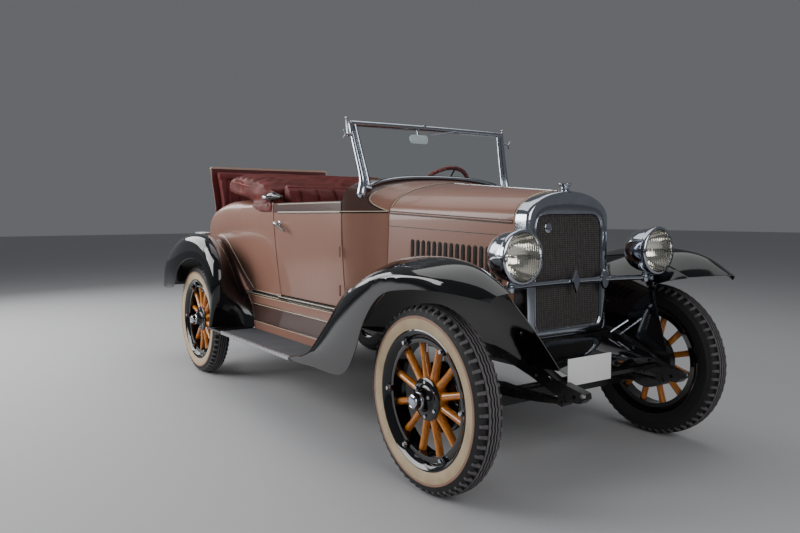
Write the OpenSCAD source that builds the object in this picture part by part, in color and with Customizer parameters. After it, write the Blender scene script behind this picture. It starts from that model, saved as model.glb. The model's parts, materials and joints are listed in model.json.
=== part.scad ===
// Two-seat roadster of the late 1920s with an open rumble seat and wooden wheels.
// +X points forward, +Y to the car's left, +Z up; the wheels stand on Z = 0.
// X is measured from the middle of the wheelbase and moved by mid_x at the end.

/* [Overall] */
// Distance between front and rear wheel centres
wheelbase = 2718; // [2400:1:3100]
// Distance between the centre planes of left and right tyres
track = 1422; // [1380:1:1500]
// Distance from the middle of the wheelbase to the middle of the whole car, forward
mid_x = 166; // [100:1:240]

/* [Wheels] */
// Outer diameter of a tyre
tyre_d = 762; // [700:1:800]
// Width of a tyre
tyre_w = 122; // [100:1:130]
// Diameter of the rim's seat under the tyre
rim_d = 536; // [500:1:560]
// Inner diameter of the black felloe that takes the spokes
felloe_d = 456; // [420:1:470]
// Width of the felloe
felloe_w = 66; // [50:1:80]
// Number of wooden spokes
spoke_n = 12; // [8:1:14]
// Diameter of a spoke at the hub
spoke_root_d = 42; // [30:1:44]
// Diameter of a spoke at the felloe
spoke_tip_d = 33; // [24:1:40]
// Diameter of the hub flanges
hub_flange_d = 172; // [150:1:190]
// Diameter of the hub barrel through the spokes
hub_barrel_d = 92; // [70:1:100]
// Diameter of the brake drum
drum_d = 280; // [240:1:300]
// How far the hub cap stands out of the wheel's centre plane
hub_cap_reach = 100; // [80:1:110]

/* [Chassis] */
// Height of the frame's flat top under the body
frame_top = 600; // [560:1:640]
// Depth of a side rail
rail_h = 100; // [80:1:120]
// Width of a side rail
rail_w = 44; // [36:1:60]
// Distance of the side rails' middle from the centre line behind the dash
rail_y = 385; // [360:1:410]
// Distance of the frame horns' middle from the centre line
horn_y = 306; // [290:1:330]
// Radius of the holes in the frame horns
horn_hole_r = 5.5; // [4:0.5:7]
// Distance from centre line to a king pin
kingpin_y = 610; // [590:1:620]
// Radius of a king pin
kingpin_r = 11; // [9:0.5:13]
// Radius of a front wheel spindle
spindle_r = 16; // [12:0.5:22]
// Length of a steering arm, from king pin to tie rod pin
steer_arm = 150; // [130:1:170]
// Radius of a rear axle shaft's end
shaft_r = 19; // [15:0.5:24]
// Height of the exhaust pipe's centre
exhaust_z = 465; // [455:1:475]

/* [Body] */
// Half width of the body at the doors, at the belt
body_half = 604; // [580:1:620]
// Height of the belt line
belt_z = 1130; // [1100:1:1160]
// Height of the door tops
door_top = 1188; // [1160:1:1200]
// Height of the body's lower edge
sill_z = 612; // [606:1:630]
// Thickness of doors and body walls
wall = 30; // [20:1:40]
// Gap round doors and lids
gap = 5; // [5:0.5:8]
// Door's front edge
door_front = 420; // [390:1:440]
// Door's rear edge at the top
door_rear = -384; // [-400:1:-340]
// How much the door's rear edge runs forward towards its foot
door_rear_rake = 40; // [0:1:60]
// Where the hood meets the cowl
hood_rear = 610; // [590:1:640]
// Where the hood meets the radiator shell
hood_front = 1352; // [1330:1:1370]
// Front face of the radiator shell
shell_front = 1432; // [1415:1:1450]
// Thickness of hood panels
hood_wall = 4; // [3:0.5:8]
// Rear hinge of the rumble lid, along the car
lid_hinge_x = -1638; // [-1650:1:-1620]
// Rear hinge of the rumble lid, height
lid_hinge_z = 1061; // [1050:1:1075]
// How far the open rumble lid stands turned back from shut, in degrees
lid_open = 86.5; // [80:0.5:90]

/* [Glass and trim] */
// Rake of the windshield from upright, in degrees
screen_rake = 15.6; // [10:0.1:20]
// Height of the windshield's top corners
screen_top = 1592; // [1550:1:1620]
// Steering wheel rim radius
wheel_rim_r = 208; // [190:1:220]
// Angle of the steering column above level
column_angle = 39; // [35:1:45]

/* [Hidden] */
$fn = 48;

// Places that follow from the driving dimensions
front_x = wheelbase / 2;
rear_x = -wheelbase / 2;
axle_z = tyre_d / 2;
wheel_y = track / 2;
run = 0.05;              // running clearance on a radius
seat = 0.3;              // gap between pieces that rest on each other
body_paint = "rosybrown";
black_paint = [0.08, 0.08, 0.09];

// ---------- curve and shell tools ----------

// Point at parameter u (0 to 1) of a smooth curve through the points p
function curve_at(p, u) =
    let (n = len(p) - 1, f = min(max(u, 0), 1) * n, i = min(floor(f), n - 1), t = f - i,
        b = p[i], c = p[i + 1],
        a = i > 0 ? p[i - 1] : 2 * b - c,
        d = i < n - 1 ? p[i + 2] : 2 * c - b)
    0.5 * (2 * b + (c - a) * t + (2 * a - 5 * b + 4 * c - d) * t * t
        + (3 * b - a - 3 * c + d) * t * t * t);

// Value at x of a smooth curve through pairs [x, value] with rising x
function value_at(p, x, i = 0) =
    x <= p[0][0] ? p[0][1] :
    x >= p[len(p) - 1][0] ? p[len(p) - 1][1] :
    x > p[i + 1][0] ? value_at(p, x, i + 1) :
    let (b = p[i], c = p[i + 1],
        a = i > 0 ? p[i - 1] : b,
        d = i < len(p) - 2 ? p[i + 2] : c,
        h = c[0] - b[0], t = (x - b[0]) / h,
        mb = (c[1] - a[1]) / (c[0] - a[0]) * h,
        mc = (d[1] - b[1]) / (d[0] - b[0]) * h)
    (2 * t * t * t - 3 * t * t + 1) * b[1] + (t * t * t - 2 * t * t + t) * mb
        + (3 * t * t - 2 * t * t * t) * c[1] + (t * t * t - t * t) * mc;

// Grid of points lofted through several curves, na along them and nb across them
function loft(curves, na, nb) =
    [for (i = [0:na]) [for (j = [0:nb])
        curve_at([for (c = curves) curve_at(c, i / na)], j / nb)]];

function unit(v) = v / max(norm(v), 1e-9);

// The grid g moved by t along its normals
function thicken(g, t) =
    let (m = len(g) - 1, n = len(g[0]) - 1)
    [for (i = [0:m]) [for (j = [0:n])
        g[i][j] + t * unit(cross(g[min(i + 1, m)][j] - g[max(i - 1, 0)][j],
            g[i][min(j + 1, n)] - g[i][max(j - 1, 0)]))]];

// Closed shell between the grids a and b; cells in hole = [i0, i1, j0, j1] stay open
module shell(a, b, hole = [0, -1, 0, -1]) {
    m = len(a);
    n = len(a[0]);
    in_hole = function (i, j) i >= hole[0] && i < hole[1] && j >= hole[2] && j < hole[3];
    solid = function (i, j) i >= 0 && i < m - 1 && j >= 0 && j < n - 1 && !in_hole(i, j);
    k = function (s, i, j) s * m * n + i * n + j;
    cells = [for (i = [0:m - 2]) for (j = [0:n - 2]) if (solid(i, j)) [i, j]];
    faces = [for (c = cells) let (i = c[0], j = c[1]) each concat(
        [[k(0, i, j), k(0, i, j + 1), k(0, i + 1, j + 1)], [k(0, i, j), k(0, i + 1, j + 1), k(0, i + 1, j)],
         [k(1, i, j), k(1, i + 1, j + 1), k(1, i, j + 1)], [k(1, i, j), k(1, i + 1, j), k(1, i + 1, j + 1)]],
        solid(i - 1, j) ? [] : [[k(0, i, j), k(1, i, j), k(1, i, j + 1)], [k(0, i, j), k(1, i, j + 1), k(0, i, j + 1)]],
        solid(i + 1, j) ? [] : [[k(0, i + 1, j + 1), k(1, i + 1, j + 1), k(1, i + 1, j)],
            [k(0, i + 1, j + 1), k(1, i + 1, j), k(0, i + 1, j)]],
        solid(i, j - 1) ? [] : [[k(0, i + 1, j), k(1, i + 1, j), k(1, i, j)], [k(0, i + 1, j), k(1, i, j), k(0, i, j)]],
        solid(i, j + 1) ? [] : [[k(0, i, j + 1), k(1, i, j + 1), k(1, i + 1, j + 1)],
            [k(0, i, j + 1), k(1, i + 1, j + 1), k(0, i + 1, j + 1)]])];
    points = concat([for (r = a) each r], [for (r = b) each r]);
    polyhedron(points, faces);
}

module placed() { translate([mid_x, 0, 0]) children(); }
module both_sides() {
    children();
    mirror([0, 1, 0]) children();
}
// Prism of a side profile given as [x, z] points, from y0 to y1
module side_prism(y0, y1, profile) {
    translate([0, y1, 0]) rotate([90, 0, 0]) linear_extrude(y1 - y0) polygon(profile);
}
// Rod along Y
module rod_y(r, y0, y1) { translate([0, y0, 0]) rotate([-90, 0, 0]) cylinder(r = r, h = y1 - y0); }
// Rod between two points
module rod(a, b, r) {
    v = b - a;
    translate(a) rotate([0, acos(v[2] / norm(v)), atan2(v[1], v[0])]) cylinder(r = r, h = norm(v));
}

// ---------- body surface ----------

// Half width of the body at the belt
half_table = [[-2000, 330], [-1960, 420], [-1880, 478], [-1740, 520], [-1560, 550], [-1300, 576],
    [-1000, 592], [-600, 602], [-200, body_half], [200, body_half - 2], [door_front, body_half - 14],
    [490, 540], [550, 470], [hood_rear, 420]];
function half_at(x) = value_at(half_table, x);

// How far the side stands in from the belt, at height z
function lean(x, z) =
    let (k = min(max((x - door_front) / (hood_rear - door_front), 0), 1))
    (1 - k) * 30 * pow((belt_z - z) / (belt_z - sill_z), 2) - k * 12 * (belt_z - z) / 250;
function side_y(x, z) = half_at(x) - lean(x, min(z, belt_z));

// Height of the deck on the centre line
deck_table = [[-2000, sill_z + 60], [-1990, 790], [-1965, 920], [-1925, 1000], [-1860, 1065],
    [-1740, 1138], [-1560, 1188], [-1350, 1222], [-1140, 1236], [-1000, 1230], [-800, 1210], [-560, 1196]];
function deck_z(x) = value_at(deck_table, x);
// Sharpness and height of the shoulder between side and deck
function shoulder_n(x) = value_at([[-1400, 4.5], [-1000, 5], [-560, 9], [-380, 14]], x);
function shoulder_h(x) = value_at([[-1400, 130], [-1000, 120], [-560, 60], [-380, 34]], x);
function deck_y_z(x, v, inset) =
    let (t = deck_z(x) - inset, h = shoulder_h(x), n = shoulder_n(x))
    t - h + h * pow(max(1 - pow(abs(v), n), 0), 1 / n);

// ---------- chassis ----------

rail_profile = [[420, frame_top - rail_h], [420, frame_top], [-1100, frame_top], [-1190, 636],
    [-1600, 636], [-1800, 600], [-1985, 590], [-1985, 520], [-1830, 500], [-1600, 545],
    [-1130, 545], [-1000, frame_top - rail_h]];
horn_tip_x = 1800;
horn_profile = [[400, frame_top - rail_h + 2], [400, frame_top - 2], [430, frame_top], [1180, frame_top], [1400, 575], [1560, 520],
    [1680, 462], [1770, 442], [1808, 432], [1812, 412], [1790, 392], [1735, 388],
    [1660, 408], [1540, 455], [1400, 500], [1180, frame_top - rail_h], [430, frame_top - rail_h]];
front_eye_x = 1761;
rail_turn = atan((rail_y - horn_y) / (front_eye_x - 420));
// Distance of the side rail's middle from the centre line
function rail_at(x) = rail_y - max(x - 420, 0) * tan(rail_turn);
// Places a child drawn along the left rear rail's line so that it follows the tapering front rail
module on_horn() {
    translate([420, rail_y, 0]) rotate([0, 0, -rail_turn]) translate([-420, -rail_y, 0]) children();
}
horn_bolt_x = [1560, 1640];
horn_bolt_z = 465;
spring_eye_z = 408;

module horn_rail() {
    difference() {
        side_prism(rail_y - rail_w / 2, rail_y + rail_w / 2, horn_profile);
        translate([front_eye_x, 0, spring_eye_z + 6]) rod_y(8, rail_y - rail_w, rail_y + rail_w);
    }
}
module chassis_frame() {
    color(black_paint) placed() difference() {
        union() {
            both_sides() {
                side_prism(rail_y - rail_w / 2, rail_y + rail_w / 2, rail_profile);
                on_horn() horn_rail();
            }
            // cross members: under the radiator, behind the engine, under the seat, over the axle, rear
            for (c = [[1365, 1425, 515, shell_low - seat], [560, 620, 520, 560], [-330, -270, 520, 570],
                    [-1030, -980, 520, 580], [-1985, -1945, 520, 585], [1640, 1680, 440, 456]])
                translate([c[0], -rail_at(c[1]), c[2]]) cube([c[1] - c[0], 2 * rail_at(c[1]), c[3] - c[2]]);
            // feet that carry the engine
            both_sides() translate([1000, engine_half + seat, 520])
                cube([60, rail_at(1060) - engine_half - seat, 40]);
            // brackets under the running boards
            for (x = [-700, 150]) both_sides() translate([x, 0, 0]) rotate([90, 0, 90]) linear_extrude(30)
                polygon([[rail_y, 545], [rail_y + rail_w / 2 + 2, 545], [575, board_top - 18 - seat],
                    [815, board_top - 18 - seat], [815, board_top - 28], [560, board_top - 28], [rail_y, 505]]);
            // spare wheel carrier on the rear cross member
            translate([-1995, 0, 0]) both_sides()
                side_prism(60, 100, [[20, 540], [20, 575], [-50, 640], [-50, 905], [-35, 905],
                    [-35, 640], [0, 620], [30, 585], [30, 540]]);
            translate([-2045, -100, 720]) cube([15, 200, 60]);
            translate([spare_x, 0, spare_z]) rotate([0, 90, 0])
                cylinder(r = hub_barrel_d / 2 - 4, h = -2045 + 15 - spare_x);
        }
        for (x = horn_bolt_x) translate([x, 0, horn_bolt_z]) rod_y(horn_hole_r, -rail_y, rail_y);
        translate([-1965, 0, 500]) cylinder(r = tow_hole_r, h = 120);
    }
}
tow_hole_r = 13;
spare_x = -2088;
spare_z = 750;

engine_x = 700;
engine_half = 170;
module engine_block() {
    color("dimgray") placed()
        translate([engine_x, -engine_half, frame_top - 170]) cube([590, 2 * engine_half, 620]);
}

// ---------- axles and steering ----------

boss_h = 60;
beam_drop = 58;
module front_axle() {
    color(black_paint) placed() translate([front_x, 0, 0]) difference() {
        union() {
            // dropped beam between the spring seats and its raised ends
            rotate([90, 0, 90]) translate([0, 0, -20]) linear_extrude(40) polygon(concat(
                [[-kingpin_y, axle_z - 27], [-kingpin_y + 30, axle_z - 27], [-420, axle_z - beam_drop - 28],
                 [420, axle_z - beam_drop - 28], [kingpin_y - 30, axle_z - 27], [kingpin_y, axle_z - 27]],
                [[kingpin_y, axle_z + 27], [kingpin_y - 30, axle_z + 27], [420, axle_z - beam_drop + 24],
                 [-420, axle_z - beam_drop + 24], [-kingpin_y + 30, axle_z + 27], [-kingpin_y, axle_z + 27]]));
            both_sides() translate([0, kingpin_y, axle_z - boss_h / 2]) cylinder(r = 21, h = boss_h);
        }
        both_sides() translate([0, kingpin_y, 0]) cylinder(r = kingpin_r + run, h = 2 * axle_z);
    }
}

arm_z = axle_z - 63;
ear_gap = 0.5;
// The left knuckle: king pin, ears, backing plate, spindle and steering arm
module knuckle() {
    translate([front_x, 0, axle_z]) {
        translate([0, kingpin_y, -boss_h / 2 - 16]) cylinder(r = kingpin_r, h = boss_h + 32);
        for (z = [-boss_h / 2 - ear_gap - 16, boss_h / 2 + ear_gap]) {
            translate([0, kingpin_y, z]) cylinder(r = 21, h = 16);
            translate([-21, kingpin_y, z]) cube([42, plate_y - kingpin_y + 2, 16]);
        }
        rod_y(drum_d / 2 + 2, plate_y, plate_y + 7);
        rod_y(spindle_r + 12, plate_y - 4, plate_y + 10);
        rod_y(spindle_r, plate_y, wheel_y + 74);
        translate([-steer_arm, kingpin_y - 11, -boss_h / 2 - ear_gap - 30]) cube([steer_arm, 22, 16]);
        translate([0, kingpin_y, -boss_h / 2 - ear_gap - 30]) cylinder(r = 18, h = 20);
        translate([-steer_arm, kingpin_y, -boss_h / 2 - ear_gap - 30]) cylinder(r = 16, h = 16);
        translate([-steer_arm, kingpin_y, -boss_h / 2 - ear_gap - 60]) cylinder(r = 8, h = 34);
    }
}
plate_y = wheel_y - 69;
module left_knuckle() { color(black_paint) placed() knuckle(); }
module right_knuckle() { color(black_paint) placed() mirror([0, 1, 0]) knuckle(); }

module tie_rod() {
    color("dimgray") placed() translate([front_x - steer_arm, 0, axle_z - boss_h / 2 - ear_gap - 30.5]) difference() {
        union() {
            translate([0, 0, -13]) rod_y(11, -kingpin_y + 12, kingpin_y - 12);
            both_sides() translate([0, kingpin_y, -26]) cylinder(r = 17, h = 26);
        }
        both_sides() translate([0, kingpin_y, -40]) cylinder(r = 8 + run, h = 60);
    }
}

module rear_axle() {
    color(black_paint) placed() translate([rear_x, 0, axle_z]) {
        rod_y(38, -plate_y, plate_y);
        both_sides() {
            rod_y(drum_d / 2 + 2, plate_y, plate_y + 7);
            rod_y(shaft_r, plate_y, wheel_y + 74);
            // seats for the springs
            translate([-55, rail_y - 30, 30]) cube([110, 60, spring_seat - 30]);
        }
        sphere(r = 118);
        // torque tube to the gearbox
        rod([0, 0, 0], [engine_x - rear_x - 1.7, 0, 77], 36);
    }
}
spring_seat = 52;

// One leaf pack: eyes at x0 and x1 on height ze, its middle at height zm, centred on y
module leaf_spring(x0, x1, xm, ze, zm, y, w, t) {
    n = 14;
    f = function (x) zm + (ze - zm) * pow(x < xm ? (xm - x) / (xm - x0) : (x - xm) / (x1 - xm), 2);
    th = function (x) t * (0.3 + 0.7 * (1 - abs(x - xm) / (x < xm ? xm - x0 : x1 - xm)));
    xs = [for (i = [0:2 * n]) i <= n ? x0 + (xm - x0) * i / n : xm + (x1 - xm) * (i - n) / n];
    side_prism(y - w / 2, y + w / 2, concat([for (x = xs) [x, f(x)]],
        [for (i = [2 * n:-1:0]) [xs[i], f(xs[i]) + th(xs[i])]]));
    for (e = [x0, x1]) translate([e, 0, ze + 5]) rod_y(15, y - w / 2, y + w / 2);
}
// Two links from the rail's sides down to a spring's eye, with the pin through it
module shackle(x, z, h) {
    for (y = [rail_y - rail_w / 2 - seat - 4, rail_y + rail_w / 2 + seat]) translate([x - 14, y, z]) cube([28, 4, h]);
    translate([x, 0, z + 12]) rod_y(8, rail_y - rail_w / 2 - 8, rail_y + rail_w / 2 + 8);
}
module springs() {
    color(black_paint) placed() both_sides() {
        on_horn() {
            leaf_spring(965, 1700, front_x, spring_eye_z - 35, axle_z - beam_drop + 24 + seat, rail_y, 44, 46);
            for (x = [965, 1700]) shackle(x, spring_eye_z - 40, x < 1000 ? 120 : 45);
        }
        leaf_spring(-1925, -800, rear_x, 470, axle_z + spring_seat + seat, rail_y, 48, 52);
        for (x = [-1925, -800]) shackle(x, 460, 75);
    }
}

column_y = 320;
column_top_x = 65;
column_dir = [-cos(column_angle), 0, sin(column_angle)];
column_top = [column_top_x, column_y, 1246];
module steering_column() {
    color(black_paint) placed() {
        rod(column_top - 60 * column_dir, column_top - 905 * column_dir, 19);
        // steering box beside the rail
        foot = column_top - 905 * column_dir;
        translate([foot[0] - 55, column_y - 45, frame_top + seat]) cube([110, 80, 110]);
    }
}
module steering_wheel() {
    color("firebrick") placed() translate(column_top) rotate([0, column_angle - 90, 0]) {
        rotate_extrude($fn = 64) translate([wheel_rim_r - 13, 0]) circle(r = 13);
        for (a = [45:90:360]) rotate([0, 0, a]) rotate([0, 90, 0])
            translate([0, 0, 20]) cylinder(r = 7, h = wheel_rim_r - 13 - 20);
        translate([0, 0, -40]) cylinder(r = 28, h = 60);
        translate([0, 0, -59.5]) cylinder(r = 12, h = 30);
    }
}

// ---------- wheels ----------

// Section of a tyre as [radius, y] points
tyre_mid = (tyre_d + rim_d) / 4;
tyre_high = (tyre_d - rim_d) / 4;
tyre_section = [for (a = [0:10:350]) let (c = cos(a), s = sin(a), e = 2 / 2.7)
    [tyre_mid + tyre_high * sign(c) * pow(abs(c), e) + (c < -0.99 ? seat : 0),
     tyre_w / 2 * sign(s) * pow(abs(s), e)]];
module wheel_axis(x, y) { translate([x, y, axle_z]) rotate([y > 0 ? -90 : 90, 0, 0]) children(); }
module tyre_shape() {
    rotate_extrude($fn = 96) difference() {
        polygon(tyre_section);
        translate([0, -tyre_w]) square([rim_d / 2 + seat, 2 * tyre_w]);
    }
}
// Felloe with its rim, and the hub with its brake drum; +Z points away from the car
module rim_ring() {
    r = rim_d / 2;
    rotate_extrude($fn = 96) polygon([[felloe_d / 2, -felloe_w / 2], [r - 14, -felloe_w / 2], [r - 4, -50],
        [r + 12, -55], [r + 12, -50], [r, -44], [r, 44], [r + 12, 50], [r + 12, 55], [r - 4, 50],
        [r - 14, felloe_w / 2], [felloe_d / 2, felloe_w / 2]]);
}
spoke_half = 21;
module hub(bore) {
    difference() {
        union() {
            cylinder(r = hub_barrel_d / 2, h = 2 * spoke_half + 16, center = true);
            for (z = [-spoke_half - 7, spoke_half + seat]) translate([0, 0, z])
                cylinder(r = hub_flange_d / 2, h = 7 - seat);
            translate([0, 0, spoke_half]) cylinder(r1 = 42, r2 = 34, h = 34);
            translate([0, 0, spoke_half]) cylinder(r = 30, h = hub_cap_reach - spoke_half);
            // drum, open towards the backing plate
            difference() {
                translate([0, 0, -56]) cylinder(r = drum_d / 2, h = 56 - spoke_half - seat);
                translate([0, 0, -57]) cylinder(r = drum_d / 2 - 8, h = 57 - spoke_half - 8);
            }
            translate([0, 0, -52]) cylinder(r = 50, h = 52 - spoke_half);
        }
        translate([0, 0, -60]) cylinder(r = bore + run, h = 60 + 80);
    }
}
module spokes() {
    difference() {
        union() {
            for (i = [0:spoke_n - 1]) rotate([0, 0, (i + 0.5) * 360 / spoke_n]) rotate([0, 90, 0])
                translate([0, 0, 60]) cylinder(d1 = spoke_root_d, d2 = spoke_tip_d,
                    h = felloe_d / 2 - 1 - 60, $fn = 24);
            cylinder(r = hub_flange_d / 2 - 2, h = 2 * spoke_half - 2 * seat, center = true);
        }
        cylinder(r = hub_barrel_d / 2 + seat, h = 60, center = true);
    }
}
module front_left_tyre() { color([0.1, 0.1, 0.1]) placed() wheel_axis(front_x, wheel_y) tyre_shape(); }
module front_right_tyre() { color([0.1, 0.1, 0.1]) placed() wheel_axis(front_x, -wheel_y) tyre_shape(); }
module rear_left_tyre() { color([0.1, 0.1, 0.1]) placed() wheel_axis(rear_x, wheel_y) tyre_shape(); }
module rear_right_tyre() { color([0.1, 0.1, 0.1]) placed() wheel_axis(rear_x, -wheel_y) tyre_shape(); }
module wheel_metal(x, y, bore) { color(black_paint) placed() wheel_axis(x, y) { rim_ring(); hub(bore); } }
module front_left_rim() { wheel_metal(front_x, wheel_y, spindle_r); }
module front_right_rim() { wheel_metal(front_x, -wheel_y, spindle_r); }
module rear_left_rim() { wheel_metal(rear_x, wheel_y, shaft_r); }
module rear_right_rim() { wheel_metal(rear_x, -wheel_y, shaft_r); }
module wheel_wood(x, y) { color("darkorange") placed() wheel_axis(x, y) spokes(); }
module front_left_spokes() { wheel_wood(front_x, wheel_y); }
module front_right_spokes() { wheel_wood(front_x, -wheel_y); }
module rear_left_spokes() { wheel_wood(rear_x, wheel_y); }
module rear_right_spokes() { wheel_wood(rear_x, -wheel_y); }

module spare_axis() { translate([spare_x, 0, spare_z]) rotate([0, -90, 0]) children(); }
module spare_tyre() { color([0.1, 0.1, 0.1]) placed() spare_axis() tyre_shape(); }
module spare_rim() {
    color(black_paint) placed() spare_axis() {
        rim_ring();
        // clamping arms of the carrier
        difference() {
            union() {
                for (a = [90, 210, 330]) rotate([0, 0, a]) translate([0, -15, -40]) cube([felloe_d / 2 + 6, 30, 12]);
                translate([0, 0, -40]) cylinder(r = 60, h = 24);
            }
            translate([0, 0, -60]) cylinder(r = hub_barrel_d / 2 - 4 + seat, h = 100);
        }
    }
}

// ---------- body ----------

function cowl_top(x) = value_at([[door_front, 1314], [480, 1306], [hood_rear, 1282]], x);
function cowl_n(x) = value_at([[door_front, 4], [480, 2.6], [hood_rear, 2]], x);
// Points of the cowl's section at x from the left sill over the top to the right sill
function cowl_row(x, inset, low = sill_z, side_n = 5, arch_n = 18) =
    let (w = half_at(x) - inset, n = cowl_n(x), h = cowl_top(x) - belt_z - inset,
        left = [for (k = [0:side_n - 1]) let (z = low + (belt_z - low) * k / side_n)
            [x, side_y(x, z) - inset, z]],
        arch = [for (k = [0:arch_n]) let (a = 180 * k / arch_n, c = cos(a), s = max(sin(a), 0))
            [x, w * sign(c) * pow(abs(c), 2 / n), belt_z + h * pow(s, 2 / n)]])
    concat(left, arch, [for (k = [side_n - 1:-1:0]) [left[k][0], -left[k][1], left[k][2]]]);
cowl_rear = door_front + gap;
cowl_stations = [for (k = [0:7]) hood_rear + (cowl_rear - hood_rear) * k / 7];

module hinge_pin() {
    translate([door_front + gap / 2, half_at(door_front), 960]) cylinder(r = gap / 2 - seat, h = 220);
}
module cowl() {
    color(body_paint) placed() {
        shell([for (x = cowl_stations) cowl_row(x, 0)], [for (x = cowl_stations) cowl_row(x, wall)]);
        both_sides() hinge_pin();
        // rod down the middle of the hood that its two leaves turn on
        rod([hood_rear + seat, 0, hood_top(hood_rear)], [hood_front - seat, 0, hood_top(hood_front)],
            gap / 2 - seat);
    }
}

door_foot = 633;
function door_rear_at(z) = door_rear + door_rear_rake * (door_top - z) / (door_top - door_foot);
module door() {
    nx = 9;
    nz = 6;
    face = function (inset) [for (i = [0:nx]) [for (j = [0:nz])
        let (z = door_foot + (door_top - door_foot) * j / nz,
            x = door_rear_at(z) + (door_front - door_rear_at(z)) * i / nx)
        [x, side_y(x, z) - inset, z]]];
    shell(face(wall), face(0));
}
module left_door() { color(body_paint) placed() door(); }
module right_door() { color(body_paint) placed() mirror([0, 1, 0]) door(); }

// Rear tub: both quarters, the deck round the rumble opening, and the tail
deck_front = -520;
tail_x = -2000;
lid_x0 = -1212;
lid_x1 = -1888;
// Half width of the rumble opening; nearly straight where the lid swings through it
lid_table = [[-1888, 420], [-1800, 474], [-1745, 482], [-1638, 482], [-1538, 482], [-1400, 492], [-1212, 517]];
function lid_half(x) = value_at(lid_table, x);
lid_gap = gap + 1.5;
lid_edge = 30;
lid_rows = [for (k = [0:8]) lid_x0 - lid_gap - lid_edge + (lid_x1 - lid_x0 + 2 * (lid_gap + lid_edge)) * k / 8];
tub_stations = concat([for (k = [0:7]) deck_front + (lid_x0 - deck_front) * k / 8],
    [lid_x0], lid_rows, [lid_x1], [-1925, -1955, -1978, -1992, tail_x]);
tub_side_n = 5;
// Lines along the deck: shares of the side strip from the body's edge to the lid, then of the lid's half width
strip = [1, 0.93, 0.75, 0.45, 0];
middle = [0.66, 0.33, 0];
function tub_line_y(x, k, inset) =
    let (w = half_at(x) - inset, lid = x < lid_x1 - 1 ? 0.884 * w : min(lid_half(x), w - 4))
    k < len(strip) ? lid + (w - lid) * strip[k] : lid * middle[k - len(strip)];
function tub_x_front(t, z) = t * (door_rear_at(z) - gap) + (1 - t) * deck_front;
function tub_h(x) = min(shoulder_h(x), (deck_z(x) - sill_z) * 0.6);
function tub_half_row(i, inset) =
    let (xs = tub_stations[i], ramp = min(max((lid_x1 - xs) / 60, 0), 1),
        at = function (xf) xf + (xs - deck_front) * (tail_x - xf) / (tail_x - deck_front))
    concat([for (k = [0:tub_side_n - 1]) let (f = k / tub_side_n,
            x0 = at(tub_x_front(1, sill_z + f * (door_top - sill_z))),
            z0 = deck_z(x0) - tub_h(x0) - inset, z = sill_z + f * (z0 - sill_z))
            [x0 + ramp * inset, side_y(x0, z) - inset, z]],
        [for (k = [0:len(strip) + len(middle) - 1]) let (x = at(tub_x_front(k < len(strip) ? strip[k] : 0, door_top)),
            t = deck_z(x) - inset, h = tub_h(x), n = shoulder_n(x), y = tub_line_y(x, k, inset),
            v = y / (half_at(x) - inset))
            [x + ramp * inset, y, t - h + h * pow(max(1 - pow(v, n), 0), 1 / n)]]);
function tub_row(i, inset) = let (half = tub_half_row(i, inset), m = len(half))
    concat(half, [for (k = [m - 2:-1:0]) [half[k][0], -half[k][1], half[k][2]]]);
// Half width inside the tub at station x and height z
function tub_inner_y(x, z) = let (h = tub_h(x), base = deck_z(x) - wall - h, n = shoulder_n(x))
    (half_at(x) - wall) * pow(1 - pow(min(max((z - base) / h, 0), 1), n), 1 / n);
module rear_body() {
    lid_j = tub_side_n + len(strip) - 1;
    m = 2 * (tub_side_n + len(strip) + len(middle)) - 1;
    color(body_paint) placed() {
        shell([for (i = [0:len(tub_stations) - 1]) tub_row(i, 0)],
            [for (i = [0:len(tub_stations) - 1]) tub_row(i, wall)],
            [8, 9 + len(lid_rows), lid_j, m - 1 - lid_j]);
        // hinge pins of the rumble lid on the tub's walls
        both_sides() translate([lid_hinge_x, 0, lid_hinge_z])
            rod_y(lid_pin_r, 460, tub_inner_y(lid_hinge_x, lid_hinge_z + lid_pin_r) - seat);
    }
}
lid_pin_r = 8;

// The lid is drawn shut and turned back to where it stands open
module lid_opened() {
    translate([lid_hinge_x, 0, lid_hinge_z]) rotate([0, -lid_open, 0])
        translate([-lid_hinge_x, 0, -lid_hinge_z]) children();
}
lid_skin = 12;
// Grid on the shut lid, drop below the deck; its outer strip is lid_edge wide, and cut = 1 leaves it off
function lid_grid(drop, cut) =
    [for (i = [cut:10 - cut]) let (x = i == 0 ? lid_x0 - lid_gap : i == 10 ? lid_x1 + lid_gap : lid_rows[i - 1],
            w = lid_half(x) - lid_gap)
        [for (j = [cut:12 - cut]) let (y = j == 0 ? w : j == 12 ? -w : (w - lid_edge) * (1 - (j - 1) / 5))
            [x, y, deck_y_z(x, y / half_at(x), 0) - drop]]];
module rumble_lid() {
    ear_y = 466;
    ear_x = [for (k = [0:6]) lid_hinge_x + 75 - 25 * k];
    color(body_paint) placed() lid_opened() {
        shell(lid_grid(0, 0), lid_grid(lid_skin, 0));
        both_sides() difference() {
            union() {
                side_prism(ear_y, ear_y + 8, concat(
                    [for (x = ear_x) [x, deck_y_z(x, (ear_y + 8) / half_at(x), 0) - lid_skin - 2 * seat]],
                    [[lid_hinge_x - 18, lid_hinge_z], [lid_hinge_x + 18, lid_hinge_z]]));
                translate([lid_hinge_x, 0, lid_hinge_z]) rod_y(20, ear_y, ear_y + 8);
            }
            translate([lid_hinge_x, 0, lid_hinge_z]) rod_y(lid_pin_r + run, ear_y - 5, ear_y + 15);
        }
    }
}
pad_thick = 75;
module rumble_lid_pad() {
    color("brown") placed() lid_opened()
        shell(lid_grid(lid_skin + seat, 1), lid_grid(lid_skin + pad_thick, 1));
}

floor_t = 15;
floor_top = frame_top + floor_t;
firewall_x = 585;
rumble_x = -1080;
rumble_back_x = -1500;
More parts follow.
